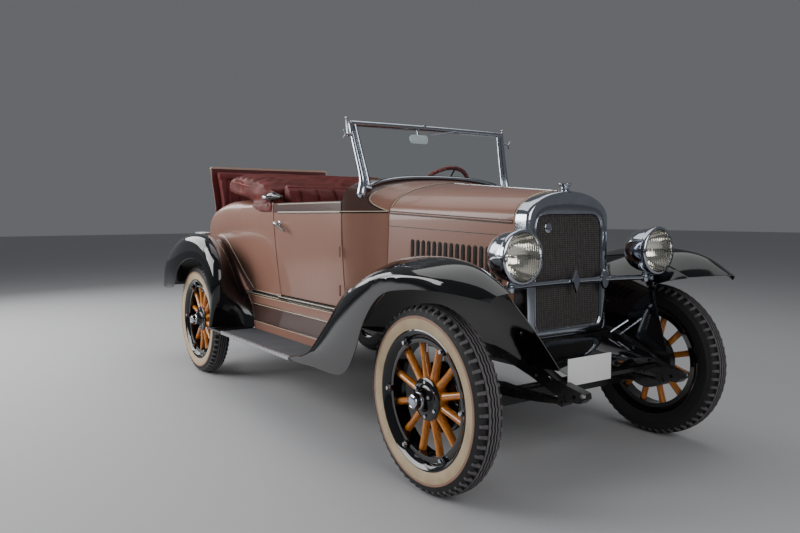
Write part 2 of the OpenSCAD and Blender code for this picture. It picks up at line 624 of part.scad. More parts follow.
// Floor boards, each a board of its own that is laid on the frame or stood on the board below
module body_floor() {
    color("dimgray") placed() {
        translate([deck_front + seat, -536, frame_top]) cube([415 - deck_front - seat, 1072, floor_t]);
        translate([415 + seat, -395, frame_top]) cube([firewall_x - 415 - 2 * seat, 790, floor_t]);
        // sills under the doors
        both_sides() translate([-330, 536 + seat, frame_top]) cube([740, 34, 28]);
        // firewall under the cowl's front edge and the ledge that the hood rests on
        difference() {
            union() {
                translate([firewall_x, 0, 0]) rotate([90, 0, 90]) linear_extrude(hood_rear + 2 * seat - firewall_x)
                    polygon([for (p = cowl_row(hood_rear, wall + 2 * seat, frame_top)) [p[1], p[2]]]);
                translate([hood_rear + seat, 0, 0]) rotate([90, 0, 90]) linear_extrude(24)
                    polygon(hood_section(hood_rear + seat + 24, hood_wall + 2 * seat, 700));
            }
            // steering column's way through the firewall
            rod(column_top - 500 * column_dir, column_top - 800 * column_dir, 26);
        }
        // seat riser
        translate([0, 0, floor_top + seat]) difference() {
            translate([-330, -480, 0]) cube([400, 960, 235 - floor_t - seat]);
            translate([-315, -465, -1]) cube([370, 930, 206]);
        }
        // wall between the cockpit and the rumble compartment
        translate([deck_front + 2 * seat, 0, 0]) rotate([90, 0, 90]) linear_extrude(12)
            polygon(concat([for (k = [0:6]) let (z = floor_top + seat + k * 67)
                    [side_y(deck_front, max(z, sill_z)) - wall - 8 * seat, z]],
                [for (k = [6:-1:0]) let (z = floor_top + seat + k * 67)
                    [-side_y(deck_front, max(z, sill_z)) + wall + 8 * seat, z]]));
        // rumble footwell, seat riser and rear floor
        translate([rumble_x, -522, frame_top]) cube([deck_front - rumble_x, 1044, floor_t]);
        translate([rumble_x - 15, -520, frame_top]) cube([15 - seat, 1040, rumble_seat_z - frame_top]);
        translate([rumble_back_x, -500, rumble_seat_z - 15]) cube([rumble_x - 15 - seat - rumble_back_x, 1000, 15]);
        translate([rumble_back_x - 15, -490, 636]) cube([15 - seat, 980, rumble_seat_z - 636]);
        translate([-1890, -395, 636]) cube([rumble_back_x - 15 - seat + 1890, 790, floor_t]);
    }
}
rumble_seat_z = 752;

module dashboard() {
    x = 452;
    color(body_paint) placed() translate([x, 0, 0]) rotate([90, 0, 90]) linear_extrude(12)
        polygon(concat([[half_at(x + 12) - wall - 3, 1070]],
            [for (p = cowl_row(x + 12, wall + 4 * seat)) if (p[2] > 1080) [p[1], p[2]]],
            [[-half_at(x + 12) + wall + 3, 1070]]));
}

seat_low = frame_top + 235 + seat;
module front_seat() {
    color("brown") placed() {
        side_prism(-520, 520, [[-275.5, seat_low], [90, seat_low], [108, 850], [112, 930], [95, 955], [40, 966],
            [-200, 955], [-260, 940], [-275.5, 925]]);
        side_prism(-521, 521, [[-276, 875], [-290, 900], [-395, 1296], [-412, 1318], [-440, 1324],
            [-462, 1312], [-470, 1290], [-505, 900], [-505, 875]]);
    }
}
module rumble_cushion() {
    color("brown") placed() side_prism(-480, 480, [[-1490, rumble_seat_z + seat], [-1100, rumble_seat_z + seat],
        [-1088, 770], [-1084, 850], [-1100, 872], [-1180, 884], [-1420, 876], [-1470, 868], [-1490, 850]]);
}

// ---------- hood and radiator ----------

function hood_k(x) = (x - hood_rear) / (hood_front - hood_rear);
function hood_half(x) = 420 + (252 - 420) * hood_k(x);
function hood_belt(x) = 1122 + (1096 - 1122) * hood_k(x);
function hood_top(x) = 1282 + (1221 - 1282) * hood_k(x);
hood_low = 690;
function hood_side_y(x, z) = hood_half(x) + 0.05 * (hood_belt(x) - z) * (1 - 0.6 * hood_k(x));
// Section of the hood at x as [y, z] points from the left lower edge to the right one
function hood_section(x, inset, low) =
    let (side = [[hood_side_y(x, low) - inset, low]])
    concat(side, [for (k = [0:20]) let (a = 9 * k)
            [(hood_half(x) - inset) * cos(a), hood_belt(x) + (hood_top(x) - hood_belt(x) - inset) * sin(a)]],
        [[-side[0][0], low]]);
module hood_leaf() {
    nx = 6;
    row = function (x, t) concat(
        [for (k = [0:5]) let (z = hood_low + (hood_belt(x) - hood_low) * k / 5) [x, hood_side_y(x, z) - t, z]],
        [for (k = [1:11]) let (a = 90 * k / 11, w = hood_half(x) - t, c = max(cos(a), gap / 2 / w))
            [x, w * c, hood_belt(x) + (hood_top(x) - hood_belt(x) - t) * sin(a)]]);
    xs = [for (k = [0:nx]) hood_rear + gap / 2 + (hood_front - hood_rear - gap) * k / nx];
    shell([for (x = xs) row(x, hood_wall)], [for (x = xs) row(x, 0)]);
}
module left_hood() { color(body_paint) placed() hood_leaf(); }
module right_hood() { color(body_paint) placed() mirror([0, 1, 0]) hood_leaf(); }

shell_half = 256;
shell_low = 572;
// Outline of the radiator shell as [y, z] points, kept back by inset
function shell_outline(inset) =
    let (w = shell_half - inset, zb = 1090, h = 128 - inset, r = 36)
    concat([for (k = [0:24]) let (a = 7.5 * k, c = cos(a))
            [w * sign(c) * pow(abs(c), 0.96), zb + h * pow(sin(a), 0.96)]],
        [for (k = [0:5]) let (a = 180 + 18 * k)
            [-w + r + r * cos(a), shell_low + inset + r + r * sin(a)]],
        [for (k = [0:5]) let (a = 270 + 18 * k)
            [w - r + r * cos(a), shell_low + inset + r + r * sin(a)]]);
module radiator_shell() {
    opening = concat([for (q = [[1, 1, 0], [-1, 1, 90], [-1, -1, 180], [1, -1, 270]]) each
        [for (k = [0:5]) let (a = q[2] + 18 * k)
            [q[0] * 176 + 34 * cos(a), 858 + q[1] * 223 + 34 * sin(a)]]]);
    color("silver") placed() {
        difference() {
            translate([hood_front, 0, 0]) rotate([90, 0, 90])
                linear_extrude(shell_front - hood_front) polygon(shell_outline(0));
            translate([hood_front - 1, 0, 0]) rotate([90, 0, 90])
                linear_extrude(shell_front - hood_front - 17) polygon(shell_outline(5));
            translate([hood_front - 1, 0, 0]) rotate([90, 0, 90])
                linear_extrude(shell_front - hood_front + 9) polygon(opening);
        }
        // ledge that the hood's front edge rests on
        translate([hood_front - 24, 0, 0]) rotate([90, 0, 90]) linear_extrude(30) difference() {
            polygon(hood_section(hood_front, hood_wall + seat, 700));
            polygon(hood_section(hood_front, hood_wall + 14, 690));
        }
        // filler neck and cap
        translate([1395, 0, 1212]) cylinder(r = 33, h = 10);
        translate([1395, 0, 1212]) cylinder(r = 24, h = 24);
        translate([1395, 0, 1232]) cylinder(r = 29, h = 21);
    }
}
module radiator_core() {
    color([0.2, 0.2, 0.22]) placed()
        translate([hood_front + 14, 0, 0]) rotate([90, 0, 90])
            linear_extrude(shell_front - 18 - seat - hood_front - 14) polygon(shell_outline(9));
}

lamp = [1567, 426, 947];
lamp_r = 111;
bar_z = 820;
lamp_foot_y = 467.6;
module headlamps() {
    color("silver") placed() {
        both_sides() translate(lamp) rotate([0, 90, 0]) rotate_extrude($fn = 64) polygon(concat([[0, -153]],
            [for (k = [1:9]) let (a = 10 * k) [104 * pow(sin(a), 0.8), -153 + 148 * (1 - cos(a))]],
            [[lamp_r - 3, -8], [lamp_r, 0], [lamp_r, 12], [lamp_r - 8, 18], [60, 30], [0, 34]]));
        both_sides() translate([lamp[0] - 60, lamp[1], bar_z]) cylinder(r = 14, h = 50);
        // feet of the tie bar on the fender skirts
        both_sides() translate([lamp[0] - 60, 0, bar_z - 6]) rod_y(12, lamp[1], lamp_foot_y);
        // tie bar bowed back between the lamps
        bar_half = lamp[1] + 16;
        bow = 64;
        bar_r = (bar_half * bar_half + bow * bow) / (2 * bow);
        bar_a = asin(bar_half / bar_r);
        translate([1443 + bar_r, 0, bar_z]) rotate([0, 0, 180 - bar_a])
            rotate_extrude(angle = 2 * bar_a, $fn = 400) translate([bar_r, 0]) circle(r = 11, $fn = 24);
    }
}

// ---------- fenders, boards ----------

front_in = [[305, 603, 393.7], [430, 601, 420], [630, 592, 575], [780, 582, 725], [930, 574, 822], [1100, 566, 890],
    [1310, 560, 915], [1430, 556, 900], [1550, 556, 868], [1640, 566, 822]];
front_curves = [
    [[345, 840, 376], [600, 846, 388], [870, 848, 400], [985, 848, 520], [1060, 848, 665], [1190, 848, 790],
     [1359, 847, 826], [1530, 838, 836], [1680, 800, 826], [1752, 748, 806]],
    [[318, 834, 393.7], [500, 840, 444], [690, 842, 585], [830, 843, 715], [960, 843, 800], [1120, 842, 865],
     [1340, 839, 893], [1520, 826, 893], [1665, 790, 868], [1765, 742, 828]],
    [[312, 711, 393.7], [450, 711, 428], [650, 711, 602], [800, 711, 762], [950, 711, 862], [1120, 711, 928],
     [1340, 711, 951], [1520, 711, 944], [1650, 705, 912], [1775, 690, 838]],
    [[308, 640, 393.7], [440, 640, 424], [640, 640, 592], [790, 640, 750], [940, 640, 852], [1110, 640, 920],
     [1330, 640, 942], [1500, 640, 932], [1630, 645, 900], [1765, 662, 836]],
    front_in];
skirt_curves = [
    [for (p = front_in) if (p[0] > 600) [p[0], p[1] - 0.5, p[2] - 4]],
    [[640, 540, 566], [780, 530, 690], [930, 520, 775], [1100, 512, 836], [1300, 500, 860], [1400, 492, 846],
     [1480, 482, 822], [1540, 458, 786]],
    [[650, 470, 560], [790, 456, 640], [930, 446, 700], [1100, 432, 732], [1290, 416, 736], [1400, 408, 722],
     [1500, 398, 694], [1610, 390, 660]],
    [[660, 396, 560], [800, 388, 565], [930, 380, 565], [1100, 370, 565], [1290, 359, 560], [1400, 352, 545],
     [1540, 343, 500], [1700, 334, 505]]];
fender_t = 4;
module fender(curves, na, nb) {
    g = loft(curves, na, nb);
    shell(thicken(g, fender_t), g);
}
module front_fenders() {
    color(black_paint) placed() both_sides() {
        fender(front_curves, 26, 10);
        fender(skirt_curves, 16, 6);
    }
}
rear_curves = [
    [[-880, 845, 389.5], [-840, 848, 520], [-880, 848, 680], [-970, 848, 790], [-1140, 848, 826], [-1350, 848, 802],
     [-1500, 848, 735], [-1570, 846, 650], [-1650, 840, 590], [-1800, 825, 562]],
    [[-870, 830, 390], [-805, 842, 550], [-810, 842, 720], [-900, 842, 860], [-1100, 840, 930], [-1350, 838, 935],
     [-1560, 835, 885], [-1770, 828, 790], [-1920, 815, 680], [-2000, 805, 562]],
    [[-860, 785, 390.5], [-785, 790, 570], [-780, 790, 740], [-860, 790, 880], [-1080, 785, 965], [-1343, 780, 980],
     [-1572, 780, 945], [-1823, 780, 869], [-2016, 780, 753], [-2115, 770, 562]],
    [[-790, 700, 391], [-770, 705, 560], [-850, 711, 740], [-980, 711, 880], [-1150, 711, 962], [-1400, 711, 984],
     [-1600, 711, 968], [-1800, 706, 934], [-1990, 700, 790], [-2090, 690, 564]],
    [[-700, 604, 391], [-765, 596, 530], [-920, 590, 650], [-1115, 579, 795], [-1300, 577, 917], [-1505, 560, 962],
     [-1720, 529, 945], [-1870, 484, 860], [-1990, 470, 720], [-2050, 480, 566]]];
module rear_fenders() {
    color(black_paint) placed() both_sides() fender(rear_curves, 26, 10);
}

board_top = 390;
board_x0 = -925;
board_in = 602;
board_x1 = 330;
board_wide = 236;
mat_x0 = -672;
mat_x1 = 292;
module running_boards() {
    color(black_paint) placed() both_sides() translate([0, board_in, board_top - 18]) {
        translate([board_x0, 0, 0]) cube([board_x1 - board_x0, board_wide, 16]);
        // rubber mat between the two fenders
        translate([mat_x0, 4, 16 - 1]) cube([mat_x1 - mat_x0, board_wide - 8, 4]);
    }
}
board_low = board_top - 14;
apron_curves = [
    [[-855, 582, 609], [-300, 582, 609], [200, 582, 609], [655, 582, 600]],
    [[-790, 586, 520], [-300, 588, 520], [200, 588, 520], [545, 588, 500]],
    [[-705, 597, board_low], [-300, 597, board_low], [100, 597, board_low], [330, 597, board_low]]];
module splash_aprons() {
    color(body_paint) placed() both_sides() {
        fender(apron_curves, 12, 4);
        // flat shield between apron, frame and fender under the cowl's front
        translate([0, 0, frame_top - 4 - seat]) linear_extrude(4)
            polygon([[425, 408], [425, 583], [640, 584], [660, 540], [668, 480], [672, 408]]);
    }
}

// ---------- windshield, top, tank, exhaust ----------

screen_foot = [497, 480, 1248];
screen_len = (screen_top - screen_foot[2]) / cos(screen_rake);
screen_top_y = 519;
post_r = 11;
screen_rail_h = 17;
screen_rise = 5.4;
module on_screen() {
    translate([screen_foot[0], 0, screen_foot[2]]) rotate([0, -screen_rake, 0]) children();
}
// Bottom rail in the plane of the glass as [y, z] points, following the cowl at a height of rise over it
function screen_arc(rise) =
    let (row = cowl_row(screen_foot[0] - 12, 0), n = len(row) - 1,
        curve = [for (k = [n:-1:0]) if (row[k][2] > belt_z - 1) [row[k][1], row[k][2]]])
    [for (k = [-18:18]) let (y = screen_foot[1] * k / 18)
        [y, (lookup(y, curve) + rise - screen_foot[2]) / cos(screen_rake)]];
module windshield_frame() {
    color("silver") placed() on_screen() {
        both_sides() rod([0, screen_foot[1], 3], [0, screen_top_y, screen_len], post_r);
        rod([0, -screen_top_y, screen_len - 10], [0, screen_top_y, screen_len - 10], 10);
        low = screen_arc(screen_rise);
        high = screen_arc(screen_rise + screen_rail_h);
        translate([-7, 0, 0]) rotate([90, 0, 90]) linear_extrude(14)
            polygon(concat(low, [for (k = [len(high) - 1:-1:0]) high[k]]));
    }
}
module windshield_glass() {
    side = function (z) screen_foot[1] + (screen_top_y - screen_foot[1]) * z / screen_len - post_r - 1;
    low = [for (p = screen_arc(screen_rise + screen_rail_h + seat)) if (abs(p[0]) < side(20) - 2) p];
    color("lightcyan", 0.4) placed() on_screen() translate([-2.5, 0, 0]) rotate([90, 0, 90]) linear_extrude(5)
        polygon(concat(low, [[side(40), 40], [side(screen_len - 20), screen_len - 20 - seat],
            [-side(screen_len - 20), screen_len - 20 - seat], [-side(40), 40]]));
}

// Closed skin through rings of points
module skin(rings) {
    m = len(rings);
    n = len(rings[0]);
    polyhedron([for (r = rings) each r], concat(
        [[for (j = [n - 1:-1:0]) j]],
        [for (i = [0:m - 2]) for (j = [0:n - 1]) let (a = i * n + j, b = i * n + (j + 1) % n)
            each [[a, b, b + n], [a, b + n, a + n]]],
        [[for (j = [0:n - 1]) (m - 1) * n + j]]));
}
function boot_top(x) = value_at([[-1240, 1385], [-1100, 1402], [-800, 1368], [-480, 1302]], x);
module top_boot() {
    half = 594;
    ring = function (y) let (e = pow(1 - pow(abs(y) / (half + 4), 6), 0.3), xc = -860 - 40 * (1 - e))
        [for (k = [0:27]) let (a = 360 * k / 28, c = cos(a), s = sin(a),
            x = xc + 378 * (0.75 + 0.25 * e) * sign(c) * pow(abs(c), 0.7),
            t = (1 + (0.6 + 0.4 * e) * sign(s) * pow(abs(s), 0.7)) / 2, low = deck_z(x) + 0.8)
            [x, y, low + t * (boot_top(x) - low)]];
    color("brown") placed() skin([for (k = [-8:8]) ring(half * sin(k * 90 / 8))]);
}

module fuel_tank() {
    color(black_paint) placed() side_prism(-330, 330, [[-1890, 440], [-1870, 420], [-1680, 420], [-1655, 445],
        [-1655, 535], [-1680, 560], [-1865, 560], [-1890, 540]]);
    // brackets to the side rails
    color(black_paint) placed() both_sides()
        translate([-1800, 325, 520]) cube([40, rail_y - rail_w / 2 - seat - 325, 14]);
}
module exhaust() {
    color("dimgray") placed() {
        // outlet at the engine's side, and hangers under two cross members
        translate([860, -265, 600]) cube([40, 265 - engine_half - seat, 40]);
        rod([880, -245, 620], [860, -245, exhaust_z], 20);
        for (x = [584, -1010]) translate([x, -251, exhaust_z]) cube([12, 12, 520 - seat - exhaust_z]);
        translate([0, -245, exhaust_z]) rotate([0, 90, 0]) {
            translate([0, 0, -1580]) cylinder(r = 20, h = 2450);
            translate([0, 0, -750]) cylinder(r = 30, h = 640);
        }
    }
}

chassis_frame();
engine_block();
front_axle();
rear_axle();
springs();
left_knuckle();
right_knuckle();
tie_rod();
steering_column();
steering_wheel();
front_left_tyre();
front_left_rim();
front_left_spokes();
front_right_tyre();
front_right_rim();
front_right_spokes();
rear_left_tyre();
rear_left_rim();
rear_left_spokes();
rear_right_tyre();
rear_right_rim();
rear_right_spokes();
spare_tyre();
spare_rim();
cowl();
left_door();
right_door();
rear_body();
body_floor();
dashboard();
front_seat();
rumble_cushion();
rumble_lid();
rumble_lid_pad();
left_hood();
right_hood();
radiator_shell();
radiator_core();
headlamps();
front_fenders();
rear_fenders();
running_boards();
splash_aprons();
windshield_frame();
windshield_glass();
top_boot();
fuel_tank();
exhaust();
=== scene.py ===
import json
import math

import bmesh
import bpy
from mathutils import Matrix, Vector
from mathutils.bvhtree import BVHTree


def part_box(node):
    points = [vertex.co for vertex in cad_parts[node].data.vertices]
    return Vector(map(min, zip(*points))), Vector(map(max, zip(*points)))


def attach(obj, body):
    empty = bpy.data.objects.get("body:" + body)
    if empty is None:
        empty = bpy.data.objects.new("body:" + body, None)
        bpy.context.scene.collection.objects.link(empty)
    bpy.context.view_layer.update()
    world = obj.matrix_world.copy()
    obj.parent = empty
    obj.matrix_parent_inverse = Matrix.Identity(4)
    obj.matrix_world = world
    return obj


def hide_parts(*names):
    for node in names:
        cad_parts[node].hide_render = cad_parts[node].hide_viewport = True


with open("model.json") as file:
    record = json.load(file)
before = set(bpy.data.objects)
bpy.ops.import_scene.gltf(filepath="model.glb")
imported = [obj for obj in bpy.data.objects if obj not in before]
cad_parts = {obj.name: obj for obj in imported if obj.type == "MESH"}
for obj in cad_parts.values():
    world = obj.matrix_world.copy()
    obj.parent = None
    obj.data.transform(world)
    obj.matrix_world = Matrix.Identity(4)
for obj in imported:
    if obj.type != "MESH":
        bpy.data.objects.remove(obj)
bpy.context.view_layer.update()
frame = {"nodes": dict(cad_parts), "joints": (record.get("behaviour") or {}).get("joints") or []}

# ---------------------------------------------------------------- camera
# The car is seen from its right front quarter, at the height of its lamps.
# The lens is a moderate wide angle close to the car, so the near wheel is large.
camera = bpy.data.objects.new("camera", bpy.data.cameras.new("camera"))
bpy.context.scene.collection.objects.link(camera)
bpy.context.scene.camera = camera
camera.data.lens = 32.0
camera.data.sensor_width = 36.0
heading, dip, roll = math.radians(145.85), math.radians(-4.17), math.radians(-0.19)
looking = Vector((math.cos(dip) * math.cos(heading), math.cos(dip) * math.sin(heading), math.sin(dip)))
camera.location = (3.778, -2.390, 1.116)
camera.rotation_mode = "QUATERNION"
camera.rotation_quaternion = looking.to_track_quat("-Z", "Y") @ Matrix.Rotation(roll, 3, "Z").to_quaternion()

# ---------------------------------------------------------------- studio
# A pale floor, and four large soft boxes: beside, before, above and behind the car.
# The room is a dim even grey, so that the bright metal has something dark to show.
floor = bpy.data.objects.new("floor", bpy.data.meshes.new("floor"))
bpy.context.scene.collection.objects.link(floor)
bm = bmesh.new()
bmesh.ops.create_grid(bm, x_segments=1, y_segments=1, size=40.0)
bm.to_mesh(floor.data)
bm.free()


def blank(name):
    """A new material, with its tree and its shader."""
    material = bpy.data.materials.new(name)
    material.use_nodes = True
    return material, material.node_tree, material.node_tree.nodes["Principled BSDF"]


floor_finish, _, shader = blank("floor_grey")
shader.inputs["Base Color"].default_value = (0.50, 0.50, 0.51, 1)
shader.inputs["Roughness"].default_value = 0.62
floor.data.materials.append(floor_finish)

world = bpy.data.worlds.new("room")
bpy.context.scene.world = world
world.use_nodes = True
world.node_tree.nodes["Background"].inputs["Color"].default_value = (0.52, 0.54, 0.57, 1)
world.node_tree.nodes["Background"].inputs["Strength"].default_value = 0.26


def soft_box(name, place, target, width, height, watts):
    light = bpy.data.objects.new(name, bpy.data.lights.new(name, "AREA"))
    bpy.context.scene.collection.objects.link(light)
    light.data.shape = "RECTANGLE"
    light.data.size = width
    light.data.size_y = height
    light.data.energy = watts
    light.location = place
    light.rotation_mode = "QUATERNION"
    light.rotation_quaternion = (Vector(target) - Vector(place)).to_track_quat("-Z", "Y")


soft_box("side_box", (-3.2, -5.2, 3.0), (-1.2, 0.0, 0.7), 5.0, 3.0, 340)
soft_box("front_box", (6.5, -0.9, 3.0), (0.8, 0.0, 0.7), 4.2, 3.2, 140)
soft_box("top_box", (-0.6, 0.4, 5.4), (-0.3, 0.0, 0.0), 7.0, 4.4, 120)
soft_box("back_box", (-6.0, -2.0, 3.4), (-0.6, 0.0, 0.8), 4.0, 3.0, 130)

# ---------------------------------------------------------------- frame, axles and steering
# Pressed steel side rails with riveted cross members, a dropped beam axle and leaf springs.
# All of it is brushed with satin black chassis enamel and has caught some road dust.
mm = 0.001


def noise(tree, vector, scale, detail=3.0, roughness=0.55):
    node = tree.nodes.new("ShaderNodeTexNoise")
    node.inputs["Scale"].default_value = scale
    node.inputs["Detail"].default_value = detail
    node.inputs["Roughness"].default_value = roughness
    tree.links.new(vector, node.inputs["Vector"])
    return node.outputs["Fac"]


def spread(tree, value, low, high, to_low=0.0, to_high=1.0):
    node = tree.nodes.new("ShaderNodeMapRange")
    for label, number in (("From Min", low), ("From Max", high), ("To Min", to_low), ("To Max", to_high)):
        node.inputs[label].default_value = number
    tree.links.new(value, node.inputs["Value"])
    return node.outputs["Result"]


def mix(tree, factor, a, b):
    node = tree.nodes.new("ShaderNodeMix")
    node.data_type = "RGBA"
    tree.links.new(factor, node.inputs["Factor"])
    for socket, value in ((node.inputs[6], a), (node.inputs[7], b)):
        if isinstance(value, tuple):
            socket.default_value = (*value, 1)
        else:
            tree.links.new(value, socket)
    return node.outputs[2]


def reckon(tree, operation, a, b=None):
    node = tree.nodes.new("ShaderNodeMath")
    node.operation = operation
    for socket, value in zip(node.inputs, (a, b)):
        if isinstance(value, (int, float)):
            socket.default_value = value
        elif value is not None:
            tree.links.new(value, socket)
    return node.outputs[0]


# Uneven gloss and a faint waviness that every brushed, sprayed or plated surface has
handled = bpy.data.node_groups.new("handled", "ShaderNodeTree")
for way, labels in (("INPUT", ("Patch Size", "Gloss Low", "Gloss High")), ("OUTPUT", ("Shade", "Roughness", "Height"))):
    for label in labels:
        handled.interface.new_socket(label, in_out=way, socket_type="NodeSocketFloat")
inside, outside = handled.nodes.new("NodeGroupInput"), handled.nodes.new("NodeGroupOutput")
place = handled.nodes.new("ShaderNodeTexCoord").outputs["Object"]
scaled = handled.nodes.new("ShaderNodeVectorMath")
scaled.operation = "SCALE"
handled.links.new(place, scaled.inputs[0])
handled.links.new(inside.outputs["Patch Size"], scaled.inputs["Scale"])
patches = noise(handled, scaled.outputs[0], 1.0, 5.0, 0.6)
ripple = noise(handled, scaled.outputs[0], 14.0, 2.0)
gloss = handled.nodes.new("ShaderNodeMapRange")
gloss.inputs["From Min"].default_value = 0.35
gloss.inputs["From Max"].default_value = 0.68
handled.links.new(patches, gloss.inputs["Value"])
handled.links.new(inside.outputs["Gloss Low"], gloss.inputs["To Min"])
handled.links.new(inside.outputs["Gloss High"], gloss.inputs["To Max"])
handled.links.new(patches, outside.inputs["Shade"])
handled.links.new(gloss.outputs["Result"], outside.inputs["Roughness"])
handled.links.new(ripple, outside.inputs["Height"])


def lively(tree, shader, patch, gloss, bump, height=None):
    """Gives a shader the uneven gloss and the waviness of the shared group, and returns the group's shade."""
    life = tree.nodes.new("ShaderNodeGroup")
    life.node_tree = handled
    for label, number in (("Patch Size", patch), ("Gloss Low", gloss[0]), ("Gloss High", gloss[1])):
        life.inputs[label].default_value = number
    tree.links.new(life.outputs["Roughness"], shader.inputs["Roughness"])
    relief = tree.nodes.new("ShaderNodeBump")
    relief.inputs["Strength"].default_value = bump
    relief.inputs["Distance"].default_value = 0.002
    tree.links.new(life.outputs["Height"] if height is None else height, relief.inputs["Height"])
    tree.links.new(relief.outputs["Normal"], shader.inputs["Normal"])
    return life.outputs["Shade"]


def finish(name, colour, second, patch=4.0, gloss=(0.3, 0.5), bump=0.02, metal=0.0, coat=0.0):
    """A material whose colour drifts between two tones, with uneven gloss and fine waviness."""
    material, tree, shader = blank(name)
    shader.inputs["Metallic"].default_value = metal
    shader.inputs["Coat Weight"].default_value = coat
    shader.inputs["Coat Roughness"].default_value = 0.03
    shade = spread(tree, lively(tree, shader, patch, gloss, bump), 0.35, 0.7)
    tree.links.new(mix(tree, shade, colour, second), shader.inputs["Base Color"])
    return material


def own_parts(tree, kind="Object"):
    """The X, Y and Z outputs of a texture coordinate."""
    parts = tree.nodes.new("ShaderNodeSeparateXYZ")
    tree.links.new(tree.nodes.new("ShaderNodeTexCoord").outputs[kind], parts.inputs[0])
    return parts.outputs


def tint(material, factor, colour):
    """Lays another colour over a material's own one where factor says so."""
    tree = material.node_tree
    base = tree.nodes["Principled BSDF"].inputs["Base Color"]
    tree.links.new(mix(tree, factor, base.links[0].from_socket, colour), base)


def dress(material, *nodes):
    for node in nodes:
        for place in frame["nodes"][node].material_slots:
            place.material = material


chassis_enamel = finish("chassis_enamel", (0.007, 0.007, 0.008), (0.014, 0.013, 0.012), 9.0, (0.20, 0.34), 0.04)
bare_steel = finish("bare_steel", (0.16, 0.15, 0.14), (0.30, 0.29, 0.28), 30.0, (0.35, 0.6), 0.3, metal=0.9)
engine_enamel = finish("engine_enamel", (0.07, 0.08, 0.08), (0.12, 0.12, 0.11), 14.0, (0.4, 0.7), 0.4)
floor_boards = finish("floor_boards", (0.035, 0.028, 0.024), (0.06, 0.05, 0.042), 20.0, (0.7, 0.9), 0.5)
dress(chassis_enamel, "chassis_frame", "front_axle", "rear_axle", "springs", "left_knuckle", "right_knuckle",
      "steering_column", "fuel_tank")
dress(bare_steel, "tie_rod", "exhaust")
dress(engine_enamel, "engine_block")
dress(floor_boards, "body_floor")

# ---------------------------------------------------------------- tyres
# Cord tyres with a cream band on the outer wall and a black tread whose raised tops are grey: dust, lightened further
# by painted highlight against the black grooves.
# Four zigzag ribs run round the crown between two rows of moulded shoulder blocks.
tyre_tread = finish("tyre_tread", (0.008, 0.008, 0.009), (0.020, 0.020, 0.020), 60.0, (0.55, 0.80), 0.5)
# The raised tops' grey is partly dust and partly painted highlight, lighter than the black grooves.
tread_top = finish("tread_top", (0.088, 0.080, 0.085), (0.140, 0.128, 0.134), 40.0, (0.62, 0.88), 0.5)
cream_wall = finish("cream_wall", (0.54, 0.42, 0.27), (0.44, 0.33, 0.20), 12.0, (0.42, 0.62), 0.10)
wall_ring = finish("wall_ring", (0.30, 0.165, 0.115), (0.36, 0.22, 0.15), 20.0, (0.5, 0.7), 0.15)
outer_radius = (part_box("front_left_tyre")[1].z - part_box("front_left_tyre")[0].z) / 2


def lathe(profile, steps, closed=False):
    """Turns [radius, y] points in millimetres round the Y axis."""
    bm = bmesh.new()
    verts = [bm.verts.new((r * mm, y * mm, 0)) for r, y in profile]
    edges = [bm.edges.new(pair) for pair in zip(verts, verts[1:] + (verts[:1] if closed else []))]
    bmesh.ops.spin(bm, geom=verts + edges, cent=(0, 0, 0), axis=(0, 1, 0), angle=2 * math.pi, steps=steps,
                   use_merge=True)
    bmesh.ops.remove_doubles(bm, verts=bm.verts, dist=1e-6)
    bmesh.ops.recalc_face_normals(bm, faces=bm.faces)
    return bm


def piece(name, bm, body, slot, *materials, sharp=35.0, stands_for=()):
    """Makes a bmesh a finished piece that rides on a body."""
    mesh = bpy.data.meshes.new(name)
    bm.to_mesh(mesh)
    bm.free()
    for material in materials:
        mesh.materials.append(material)
    mesh.shade_smooth()
    mesh.set_sharp_from_angle(angle=math.radians(sharp))
    made = bpy.data.objects.new(name, mesh)
    bpy.context.scene.collection.objects.link(made)
    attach(made, body)
    if stands_for:
        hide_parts(*stands_for)
    return made


def faces_of(verts):
    return {f for v in verts for f in v.link_faces}


def coloured(verts, index):
    """Gives the faces at some points one of the piece's materials."""
    for face in faces_of(verts):
        face.material_index = index


def rounded(bm, edges, offset, segments=2):
    """Bevels edges by an offset in millimetres."""
    return bmesh.ops.bevel(bm, geom=edges, offset=offset * mm, offset_type="OFFSET", segments=segments, profile=0.5,
                           affect="EDGES", material=-1)["verts"]


def box_between(bm, corner, opposite, bevel=0.0, segments=2):
    """Adds a box between two opposite corners, in metres, with its edges rounded by bevel, in millimetres."""
    low, high = (Vector(pick(pair) for pair in zip(corner, opposite)) for pick in (min, max))
    made = bmesh.ops.create_cube(bm, size=1.0)["verts"]
    for v in made:
        v.co = (low + high) / 2 + Vector(a * b for a, b in zip(v.co, high - low))
    return rounded(bm, list({e for v in made for e in v.link_edges}), bevel, segments) if bevel else made


def local(x, y, z):
    """A place from the origin that a shape is made round, in millimetres, as metres."""
    return Vector((x, y, z)) * mm


def turned(bm, verts, angle):
    bmesh.ops.rotate(bm, verts=verts, cent=(0, 0, 0), matrix=Matrix.Rotation(angle, 3, "Y"))


def placed(bm, spot, angle=0.0, axis="Z"):
    """Turns a shape that was made round the origin and moves it to its place."""
    bmesh.ops.transform(bm, matrix=Matrix.Translation(spot) @ Matrix.Rotation(angle, 4, axis), verts=bm.verts)
    return bm


